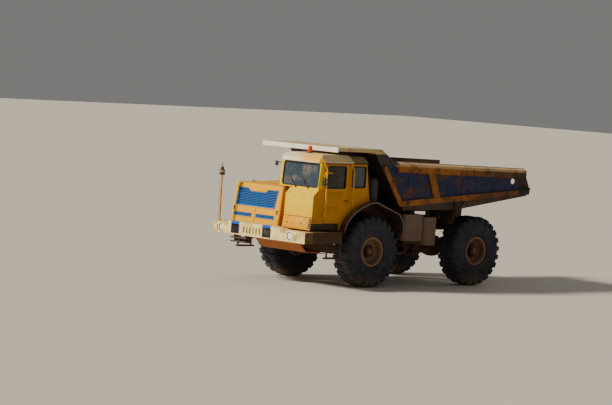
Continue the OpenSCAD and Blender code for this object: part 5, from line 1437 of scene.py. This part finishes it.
def cushion(shape, low, high, crown, tilt=0.0):
    """A crowned closed pad between two corners, its sides pulled in between the corners."""
    middle = (low + high) / 2
    half = (high - low) / 2
    turn = Matrix.Rotation(tilt, 3, "X")
    outline = []
    for i in range(PAD_POINTS):
        angle = 2 * math.pi * i / PAD_POINTS
        u, v = (math.copysign(abs(part) ** PAD_POWER, part) for part in (math.cos(angle), math.sin(angle)))
        outline.append((u, v, 0.05 * (1 - min(abs(u), abs(v)) ** 3)))
    rows = []
    for level in (-1.0, -0.9, -0.35, 0.35, 0.8, 1.0):
        end = 0.10 if abs(level) > 0.85 else 0.0
        rows.append([(u * (1.0 - waist - end), v * (1.0 - waist - end), level) for u, v, waist in outline])
    for share in (0.66, 0.33):
        rows.append([(a * share / 0.9, b * share / 0.9, 1.0 + crown * (1 - share)) for a, b, _ in rows[5]])
    rows.append([(0, 0, 1.0 + crown)])
    shape.loft([[turn @ Vector((a * half.x, b * half.y, c * half.z)) + middle for a, b, c in row]
                for row in rows])


class TRUCK_OT_seat(Operator):
    """Builds the driver's seat with its crowned pads, piping and pedestal"""
    bl_idname = "truck.seat"
    bl_label = "Seat"

    def execute(self, context):
        base = Shape()
        low = front(SEAT_X - 0.165, -1.055, SEAT_Z)
        base.box_at(low, (0, 0, 0), (0.33, 0.28, 0.018))
        for i in range(5):
            step = 0.006 * (i % 2)
            base.box_at(low, (0.02 + step, 0.02 + step, 0.018 + i * 0.017),
                        (0.31 - step, 0.26 - step, 0.035 + i * 0.017))
        base.box_at(low, (-0.05, -0.09, 0.103), (0.38, 0.34, 0.112))
        for x in (SEAT_X - 0.195, SEAT_X + 0.195):
            base.box(front(x - 0.012, -1.10, SEAT_Z + 0.07), front(x + 0.012, -0.72, SEAT_Z + 0.09))
        lever = [front(SEAT_X + 0.21, -1.04, SEAT_Z + 0.08), front(SEAT_X + 0.235, -1.12, SEAT_Z + 0.085)]
        base.tube(lever, 0.007, 10)
        stand = base.piece("seat_stand", "dark_steel", "seat", bevel=0.002)
        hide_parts("seat")
        squab = Shape()
        cushion(squab, front(SEAT_X - 0.245, -1.175, SEAT_Z + 0.113),
                front(SEAT_X + 0.245, -0.70, SEAT_Z + 0.205), 0.45)
        squab.piece("seat_cushion", "seat", "seat", subdivide=1)
        back = Shape()
        cushion(back, front(SEAT_X - 0.225, -0.975, SEAT_Z + 0.44),
                front(SEAT_X + 0.225, -0.375, SEAT_Z + 0.53), 0.35, math.radians(80))
        back.piece("seat_back", "seat", "seat", subdivide=1)
        piping = Shape()
        for x in (SEAT_X - 0.115, SEAT_X + 0.115):
            crown = [0.012 * math.sin(math.pi * i / 10) for i in range(11)]
            piping.tube([front(x, -1.14 + i * 0.04, SEAT_Z + 0.2145 + rise) for i, rise in enumerate(crown)],
                        0.0045, 8)
        piping.piece("seat_piping", "gasket", "seat")
        return {"FINISHED"}


DASH_Z = 2.262
# Each dial's place across the dash and its radius
DIALS = ((-0.16, 0.038), (-0.06, 0.048), (0.06, 0.048), (0.16, 0.038))
# Each lever's place on the floor and its height
LEVERS = ((1.16, -1.02, 0.30), (1.22, -0.92, 0.22), (0.50, -0.98, 0.26))
PEDAL_THICK = 0.014
LEVER_BOOT = ((0.0, 0.0), (0.045, 0.0), (0.040, 0.016), (0.024, 0.035), (0.012, 0.05), (0.0, 0.05))
LEVER_KNOB = ((0.0, -0.004), (0.014, 0.0), (0.022, 0.016), (0.022, 0.032), (0.012, 0.044), (0.0, 0.046))


class TRUCK_OT_controls(Operator):
    """Builds the instruments, levers and pedals round the wheel"""
    bl_idname = "truck.controls"
    bl_label = "Controls"

    def execute(self, context):
        dash_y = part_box("steering_column")[0].y
        trim = Shape()
        dial = Shape()
        needle = Shape()
        up = Vector((0, 0.5, 0.86)).normalized()
        for i, (x, radius) in enumerate(DIALS):
            seat = Vector((SEAT_X + x, dash_y + 0.275, DASH_Z))
            inner = radius * 0.9
            bezel = ((inner, -0.004), (radius, -0.004), (radius, 0.012), (inner, 0.014))
            trim.spin(bezel, seat, up, 32, ring=True)
            dial.spin(((0.0, -0.002), (inner, -0.002), (inner, 0.004), (0.0, 0.004)), seat, up, 32)
            start = seat + up * 0.005
            needle.tube([start, start + X_AXIS * radius * (0.7 if i % 2 else -0.7)], 0.0015, 6)
        for i in range(6):
            seat = Vector((SEAT_X + 0.26 + 0.035 * (i % 3), dash_y + 0.26 + 0.035 * (i // 3), DASH_Z))
            trim.box_at(seat, (-0.012, -0.012, -0.004), (0.012, 0.012, 0.012))
        for x, y, tall in LEVERS:
            foot = front(x, y, SEAT_Z - 0.002)
            top = foot + Vector((0, -0.05, tall))
            trim.spin(LEVER_BOOT, foot, Z_AXIS, 24)
            trim.tube([foot + Z_AXIS * 0.04, foot + Vector((0, -0.03, tall * 0.6)), top], 0.008, 12)
            trim.spin(LEVER_KNOB, top, Z_AXIS, 20)
        pedal = soft_rectangle((-0.035, 0.0), (0.035, 0.12), 0.01, 2)
        for x in (0.70, 0.88, 1.02):
            base = front(x, -1.56, 1.4092)
            trim.loft([[base + Vector((a, depth, b)) for a, b in pedal] for depth in (0.0, PEDAL_THICK)])
        trim.piece("cab_controls", "trim", "trim", bevel=0.0012)
        dial.piece("dash_dials", "white_paint", "trim")
        needle.piece("dash_needles", "red_lens", "trim")
        return {"FINISHED"}


# Fenders and steps

# The fender's top line, as (y, z)
FENDER = ((1.010, 1.395), (0.975, 1.600), (0.837, 1.783), (0.417, 1.935), (0.060, 2.066), (-0.130, 2.048),
          (-0.451, 1.926), (-0.640, 1.823), (-0.790, 1.698), (-0.930, 1.508), (-0.977, 1.368))
# Outline of the flat sheets inside the fenders that close the gap above the tyres, as (y, z)
FENDER_GAP_X = 1.058
FENDER_GAP_SHEET = ((0.25, 1.78), (0.775, 1.79), (0.835, 1.765), (0.968, 1.59), (1.0, 1.395), (0.88, 1.395),
          (0.775, 1.50), (0.62, 1.60), (0.50, 1.65), (0.335, 1.70))
FENDER_X = 1.5975
LIP_THICK = 0.009


class TRUCK_OT_fenders(Operator):
    """Builds the fenders' inner sheets, pale lips and bolts"""
    bl_idname = "truck.fenders"
    bl_label = "Fenders"

    def execute(self, context):
        # Flat brown sheets inside the fenders that close the gap above the tyres.
        splash = Shape()
        splash.slab(wall(FENDER_GAP_X), FENDER_GAP_SHEET, 0.0, 0.004)
        splash.piece("fender_gap_sheets", "fender", "fender", mirror=True)
        lip = Shape()
        middle = Vector((0.0, 1.20))
        place = wall(FENDER_X)
        rows = []
        for spot in FENDER:
            inward = (middle - Vector(spot)).normalized()
            section = ((0.001, 0.0), (0.005, LIP_THICK), (0.028, LIP_THICK), (0.028, 0.0))
            rows.append([place(Vector(spot) + inward * depth, lift) for depth, lift in section])
        lip.loft(rows)
        lip.piece("fender_lips", "lip", "fender", mirror=True, bevel=0.002)
        bolts = Shape()
        for (y0, z0), (y1, z1) in zip(FENDER[1:], FENDER[2:]):
            normal = Vector((0, z1 - z0, y0 - y1)).normalized()
            if normal.z < 0:
                normal = -normal
            seats = [front(x, (y0 + y1) / 2, (z0 + z1) / 2) - normal * 0.001 for x in (1.13, 1.53)]
            bolts.bolts(seats, normal, 0.011)
        bolts.bolts([front(1.48, 1.0095, z) for z in (1.36, 1.31, 1.26)], Y_AXIS, 0.010)
        bolts.piece("fender_bolts", "dark_steel", "dark_steel", mirror=True)
        return {"FINISHED"}


# Height of each step, and how far its edge lies inside the skirt
STEPS = ((0.735, 0.022), (0.915, 0.036))


class TRUCK_OT_steps(Operator):
    """Builds the checker plates and treads of the steps"""
    bl_idname = "truck.steps"
    bl_label = "Steps"

    def execute(self, context):
        low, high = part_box("side_steps")
        deck = Shape()
        deck.box((1.425, low.y + 0.02, 1.3305), (1.625, high.y - 0.02, 1.3375))
        deck.piece("deck_plates", "grip", "fender", mirror=True, bevel=0.001)
        tread = Shape()
        x0 = high.x - 0.105
        for z, inside in STEPS:
            x1 = high.x - inside - 0.008
            for i in range(9):
                y = -1.53 + i * 0.0565
                foot = rectangle(x0, y, x1, y + 0.016)
                top = rectangle(x0 + 0.003, y + 0.004, x1 - 0.003, y + 0.012)
                tread.loft([[front(*pair, z) for pair in foot], [front(*pair, z + 0.010) for pair in top]])
        seats = [front(high.x - 0.0355, y, z) for y in (-1.51, -1.085) for z in (1.07, 1.03)]
        tread.bolts(seats, X_AXIS, 0.010)
        tread.piece("step_treads", "dark_steel", "fender", mirror=True)
        return {"FINISHED"}


# Chassis

# Place, foot and top of each strut's boot
STRUTS = ((0.74, FRONT_Y, 0.94, 1.236), (0.88, REAR_Y + 0.02, 1.06, 1.36))
BOOT_FOLDS = 9
RAIL_X = 0.4795
JOINT = ((0.054, -0.05), (0.074, -0.045), (0.078, -0.02), (0.078, 0.02), (0.074, 0.045), (0.054, 0.05))
AXLE_RIB = ((0.100, -0.012), (0.128, -0.008), (0.128, 0.008), (0.100, 0.012))


class TRUCK_OT_chassis(Operator):
    """Builds the strut boots, rail bolts, upright dark sheets between the bolsters, axle ribs and propshaft
    joints
    """
    bl_idname = "truck.chassis"
    bl_label = "Chassis"

    def execute(self, context):
        struts = Shape()
        for x, y, foot, top in STRUTS:
            folds = []
            for i in range(BOOT_FOLDS * 2 + 1):
                z = foot + 0.02 + (top - foot - 0.04) * i / (BOOT_FOLDS * 2)
                folds.append((0.082 if i % 2 else 0.096, z))
            profile = [(0.0, folds[0][1]), *folds, (0.0, folds[-1][1])]
            struts.spin(profile, Vector((x, y, 0.0)), Z_AXIS, 40)
        struts.piece("strut_boots", "gasket", "dark_steel", mirror=True)
        bolts = Shape()
        for places, heights in (((-1.55, -1.35, -1.15, -0.45, 0.15, 0.45, 0.75), (1.10, 1.27)),
                                ((1.25, 1.55, 2.60, 2.80, 3.25, 3.45), (1.26, 1.44))):
            bolts.bolts([front(RAIL_X, y, z) for y in places for z in heights], X_AXIS, 0.014)
        bolts.piece("rail_bolts", "dark_steel", "dark_steel", mirror=True)
        # Upright dark steel sheets, with ribs, that close the gap between the bolsters.
        gap_sheet = Shape()
        gap_sheet.box(front(0.464, -0.17, 1.3295), front(0.470, 1.06, 1.80))
        for y in (-0.15, 0.25, 0.65, 1.04):
            gap_sheet.box(front(0.469, y - 0.012, 1.3295), front(0.478, y + 0.012, 1.79))
        gap_sheet.piece("bolster_gap_sheets", "dark_steel", "dark_steel", mirror=True, bevel=0.001)
        axle = Shape()
        axle.circle_of_bolts(Vector((0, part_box("rear_axle")[1].y - 0.006, HUB_Z)), Y_AXIS, 0.10, 8, 0.012)
        for x in (0.30, 0.62, 1.02):
            axle.spin(AXLE_RIB, Vector((x, REAR_Y, HUB_Z)), X_AXIS, 40, ring=True)
        axle.piece("axle_ribs", "axle", "axle", mirror=True)
        shaft = Shape()
        start = front(0, 0.70, 1.10)
        end = Vector((0, REAR_Y - 0.40, HUB_Z + 0.002))
        along = (end - start).normalized()
        for share in (0.03, 0.50, 0.97):
            spot = start.lerp(end, share)
            shaft.spin(JOINT, spot, along, 32, ring=True)
            shaft.circle_of_bolts(spot + along * 0.045, along, 0.066, 6, 0.007)
        shaft.piece("propshaft_joints", "axle", "axle")
        return {"FINISHED"}


# Tanks and air cleaner

TANK_CAP = ((0.0, 0.0), (0.062, 0.0), (0.062, 0.012), (0.050, 0.016), (0.050, 0.040), (0.056, 0.044),
            (0.056, 0.058), (0.048, 0.064), (0.0, 0.064))
STRAP_REACH = 0.60
STRAP_HALF = Vector((0, 0.022, 0))
STRAP_THICK = 0.005


class TRUCK_OT_tanks(Operator):
    """Builds the tanks' straps, caps and the air cleaner's bands"""
    bl_idname = "truck.tanks"
    bl_label = "Tanks"

    def execute(self, context):
        straps = Shape()
        caps = Shape()
        for low, high in (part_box("fuel_tank"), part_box("oil_tank")):
            x = high.x
            for share in (0.27, 0.73):
                y = low.y + (high.y - low.y) * share
                self.strap(straps, x, y, low.z, high.z)
                straps.bolt(Vector((x + 0.0025, y, high.z - 0.09)), X_AXIS, 0.011)
            spot = Vector((x - 0.16, (low.y + high.y) / 2, high.z - 0.001))
            caps.spin(TANK_CAP, spot, Z_AXIS, 40)
            caps.handle(spot + Z_AXIS * 0.063, X_AXIS * 0.04, Z_AXIS * 0.019, 0.012, 0.006)
        straps.piece("tank_straps", "tank", "tank", bevel=0.001)
        caps.piece("tank_caps", "dark_steel", "tank", bevel=0.001)
        low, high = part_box("air_cleaner")
        foot = Vector(((low.x + high.x) / 2, (low.y + high.y) / 2, low.z))
        bands = Shape()
        for z in (0.15, 0.42):
            band = foot + Z_AXIS * z
            bands.collar(0.123, 0.131, -0.018, 0.018, band, Z_AXIS)
            bands.box_at(band, (0.118, -0.02, -0.014), (0.150, 0.02, 0.014))
        for spoke in spokes(20):
            root = foot + spoke * 0.1255 + Z_AXIS * (high.z - low.z - 0.11)
            bands.tube([root, root + Z_AXIS * 0.048], 0.004, 6)
        bands.piece("air_cleaner_bands", "grey", "grey", bevel=0.001)
        return {"FINISHED"}

    def strap(self, shape, x, y, low, high):
        """Flat steel over a tank's top, down its outer face and back under it."""
        edges = [Vector((x + 0.003, y, high + 0.003)), Vector((x + 0.003, y, low - 0.003))]
        inner = x - STRAP_REACH
        path = [Vector((inner, y, edges[0].z)), *edges, Vector((inner, y, edges[1].z))]
        for a, b, facing in zip(path, path[1:], (Z_AXIS, X_AXIS, -Z_AXIS)):
            out = facing * STRAP_THICK
            corners = (a - STRAP_HALF, b - STRAP_HALF, b + STRAP_HALF, a + STRAP_HALF)
            shape.sheet([corner - out * 0.9 for corner in corners], out)


# Bed and hoists

BED_X = 1.612
PANEL_X = 1.557
BED_SLOPE = 0.0750
RIM_FALL = 0.02138
WELD_POINTS = 90
LAMP_PROFILE = ((0.0, 0.010), (0.030, 0.008), (0.045, 0.0), (0.045, -0.014), (0.0, -0.014))


def bed_low(y):
    """Height of the bed's bottom edge, y from the front axle."""
    return 1.953 + (y - 0.83) * BED_SLOPE


def rim_height(y):
    """Height of the bed's rim, y from the front axle."""
    return 2.945 - (y - 0.695) * RIM_FALL


class TRUCK_OT_bed_trim(Operator):
    """Builds the bed's seams, stiffeners, hooks, bolts, wear bars and tail lamps"""
    bl_idname = "truck.bed_trim"
    bl_label = "Bed trim"

    def execute(self, context):
        self.welds()
        plates = Shape()
        for y in (2.45, 3.2, 4.1, 4.85):
            low = bed_low(y) + 0.142
            outline = ((y, low), (y + 0.11, low + 0.008), (y + 0.085, low + 0.17), (y + 0.025, low + 0.17))
            plates.slab(wall(PANEL_X), outline, -0.002, 0.010)
        for y in (1.1, 3.0):
            plates.box(front(PANEL_X - 0.002, y, 2.46), front(PANEL_X + 0.010, y + 0.26, 2.66))
        plates.piece("bed_patches", "bed", "bed", "bed", mirror=True, bevel=0.002)
        hooks = Shape()
        for y in (1.45, 2.9, 4.3):
            foot = front(BED_X - 0.014, y, rim_height(y) - 0.10)
            hooks.handle(foot, Y_AXIS * 0.05, Vector((0.011, 0, -0.07)), 0.03, 0.0095, 10)
        places = [y + step for y in (0.98, 5.25) for step in (0.0, 0.05, 0.10)]
        hooks.bolts([front(BED_X - 0.0135, y, bed_low(y) + 0.07) for y in places], X_AXIS, 0.012)
        hole = ((0.074, -0.002), (0.094, -0.002), (0.092, 0.010), (0.074, 0.010))
        hooks.spin(hole, front(PANEL_X, 4.98, 2.628), X_AXIS, 48, ring=True)
        hooks.piece("bed_hooks", "bed", "bed", "bed", mirror=True, bevel=0.001)
        wear = Shape()
        tilt = Matrix.Rotation(math.atan(BED_SLOPE), 3, "X")
        for i in range(7):
            y = 1.5 + i * 0.55
            z = bed_low(y) + 0.0225
            wear.box(front(-1.50, y, z - 0.002), front(1.50, y + 0.07, z + 0.010), tilt, front(0, y, z))
        wear.piece("floor_wear_bars", "bed", "bed", "bed", bevel=0.002)
        lip = Shape()
        for x in (-0.9, -0.3, 0.3, 0.9):
            lip.tube([front(x - 0.26, -1.1125, 3.23), front(x + 0.26, -1.1125, 3.23)], 0.0035, 6)
        lip.piece("canopy_weld", "bed", "bed", "bed")
        lamps = Shape()
        house = Shape()
        for x in (0.36, 0.52):
            spot = front(x, 4.085, 1.27)
            house.box_at(spot, (-0.065, -0.08, -0.05), (0.065, -0.012, 0.05))
            lamps.spin(LAMP_PROFILE, spot, Y_AXIS, 32)
        house.box(front(0.28, 4.00, 1.21), front(0.60, 4.012, 1.33))
        house.piece("tail_lamp_boxes", "dark_steel", "dark_steel", mirror=True, bevel=0.002)
        lamps.piece("tail_lamps", "red_lens", "lamp", mirror=True)
        return {"FINISHED"}

    def welds(self):
        """Uneven beads up the panels, along the middle, and along the rails."""
        seams = Shape()
        for y in (1.25, 2.75, 3.65, 4.55):
            low = bed_low(y) + 0.145
            step = (rim_height(y) - 0.16 - low) / 34
            beads = [(y + 0.003 * math.sin(i * 2.7), low + step * i) for i in range(35)]
            seams.tube([front(PANEL_X + 0.0005, *bead) for bead in beads], 0.0055, 6)
        line = [2.05 + i * 0.06 for i in range(52)]
        seams.tube([front(PANEL_X + 0.0005, y, bed_low(y) + 0.445) for y in line], 0.005, 6)
        for y0, y1, height, lift in ((0.86, 5.40, bed_low, 0.1405), (0.75, 5.25, rim_height, -0.1555)):
            path = []
            for i in range(WELD_POINTS + 1):
                y = y0 + (y1 - y0) * i / WELD_POINTS
                path.append(front(PANEL_X + 0.001, y, height(y) + lift + 0.0015 * math.sin(i * 1.9)))
            seams.tube(path, 0.0065, 6)
        seams.piece("bed_welds", "bed", "bed", "bed", mirror=True, angle=80)


HOIST_FOOT = (2.30, 0.70)
HOIST_EYE = (3.30, 1.90)
HOIST_X = 0.622
# From the end of the barrel to the rod's eye
ROD_SHOWN = 0.150
GLAND = ((0.0455, 0.0), (0.070, 0.0), (0.070, 0.022), (0.060, 0.028), (0.0455, 0.028))


class TRUCK_OT_hoist_trim(Operator):
    """Builds the hoists' gland nuts, bands and pipes"""
    bl_idname = "truck.hoist_trim"
    bl_label = "Hoist trim"

    def execute(self, context):
        for label, hand in (("l", 1), ("r", -1)):
            foot = front(hand * HOIST_X, *HOIST_FOOT)
            reach = front(hand * HOIST_X, *HOIST_EYE) - foot
            along = reach.normalized()
            side = X_AXIS.cross(along)
            length = reach.length - ROD_SHOWN
            barrel = Shape()
            barrel.spin(GLAND, foot + along * length, along, 8, ring=True)
            for share in (0.28, 0.55):
                barrel.collar(0.0845, 0.0895, -0.014, 0.014, foot + along * length * share, along)
            turns = ((0.12, 0.082), (0.14, 0.104), (length - 0.12, 0.104), (length - 0.09, 0.086))
            pipe = [foot + along * up + side * out for up, out in turns]
            barrel.tube(rounded(pipe, 0.02), 0.009, 10)
            barrel.piece("hoist_pipes_" + label, "dark_steel", "dark_steel", "hoist_barrel_" + label)
        return {"FINISHED"}


OPERATORS = (TRUCK_OT_stage, TRUCK_OT_finishes, TRUCK_OT_tyres, TRUCK_OT_wheels, TRUCK_OT_lamps,
             TRUCK_OT_bumper_trim, TRUCK_OT_hood_trim, TRUCK_OT_gaskets, TRUCK_OT_cab_trim,
             TRUCK_OT_door_trim, TRUCK_OT_wipers, TRUCK_OT_rails, TRUCK_OT_beacon,
             TRUCK_OT_marker_pole, TRUCK_OT_seat, TRUCK_OT_controls, TRUCK_OT_fenders, TRUCK_OT_steps,
             TRUCK_OT_chassis, TRUCK_OT_tanks, TRUCK_OT_bed_trim, TRUCK_OT_hoist_trim)


class TRUCK_PT_panel(Panel):
    """Lists the truck's sizes and its groups of pieces"""
    bl_label = "Dump Truck"
    bl_idname = "TRUCK_PT_panel"
    bl_space_type = "VIEW_3D"
    bl_region_type = "UI"
    bl_category = "Dump Truck"

    def draw(self, context):
        for group in (context.scene.truck_sizes, context.scene.truck_stage):
            box = self.layout.box()
            for key in group.bl_rna.properties.keys():
                if key not in {"rna_type", "name"}:
                    box.prop(group, key)
        for operator in OPERATORS:
            self.layout.operator(operator.bl_idname)


CLASSES = (TruckSizes, StageSizes, *OPERATORS, TRUCK_PT_panel)


def register():
    for item in CLASSES:
        bpy.utils.register_class(item)
    bpy.types.Scene.truck_sizes = PointerProperty(type=TruckSizes)
    bpy.types.Scene.truck_stage = PointerProperty(type=StageSizes)


def unregister():
    del bpy.types.Scene.truck_stage
    del bpy.types.Scene.truck_sizes
    for item in reversed(CLASSES):
        bpy.utils.unregister_class(item)


def main():
    register()
    for operator in OPERATORS:
        group, name = operator.bl_idname.split(".")
        getattr(getattr(bpy.ops, group), name)()


if __name__ == "__main__":
    main()
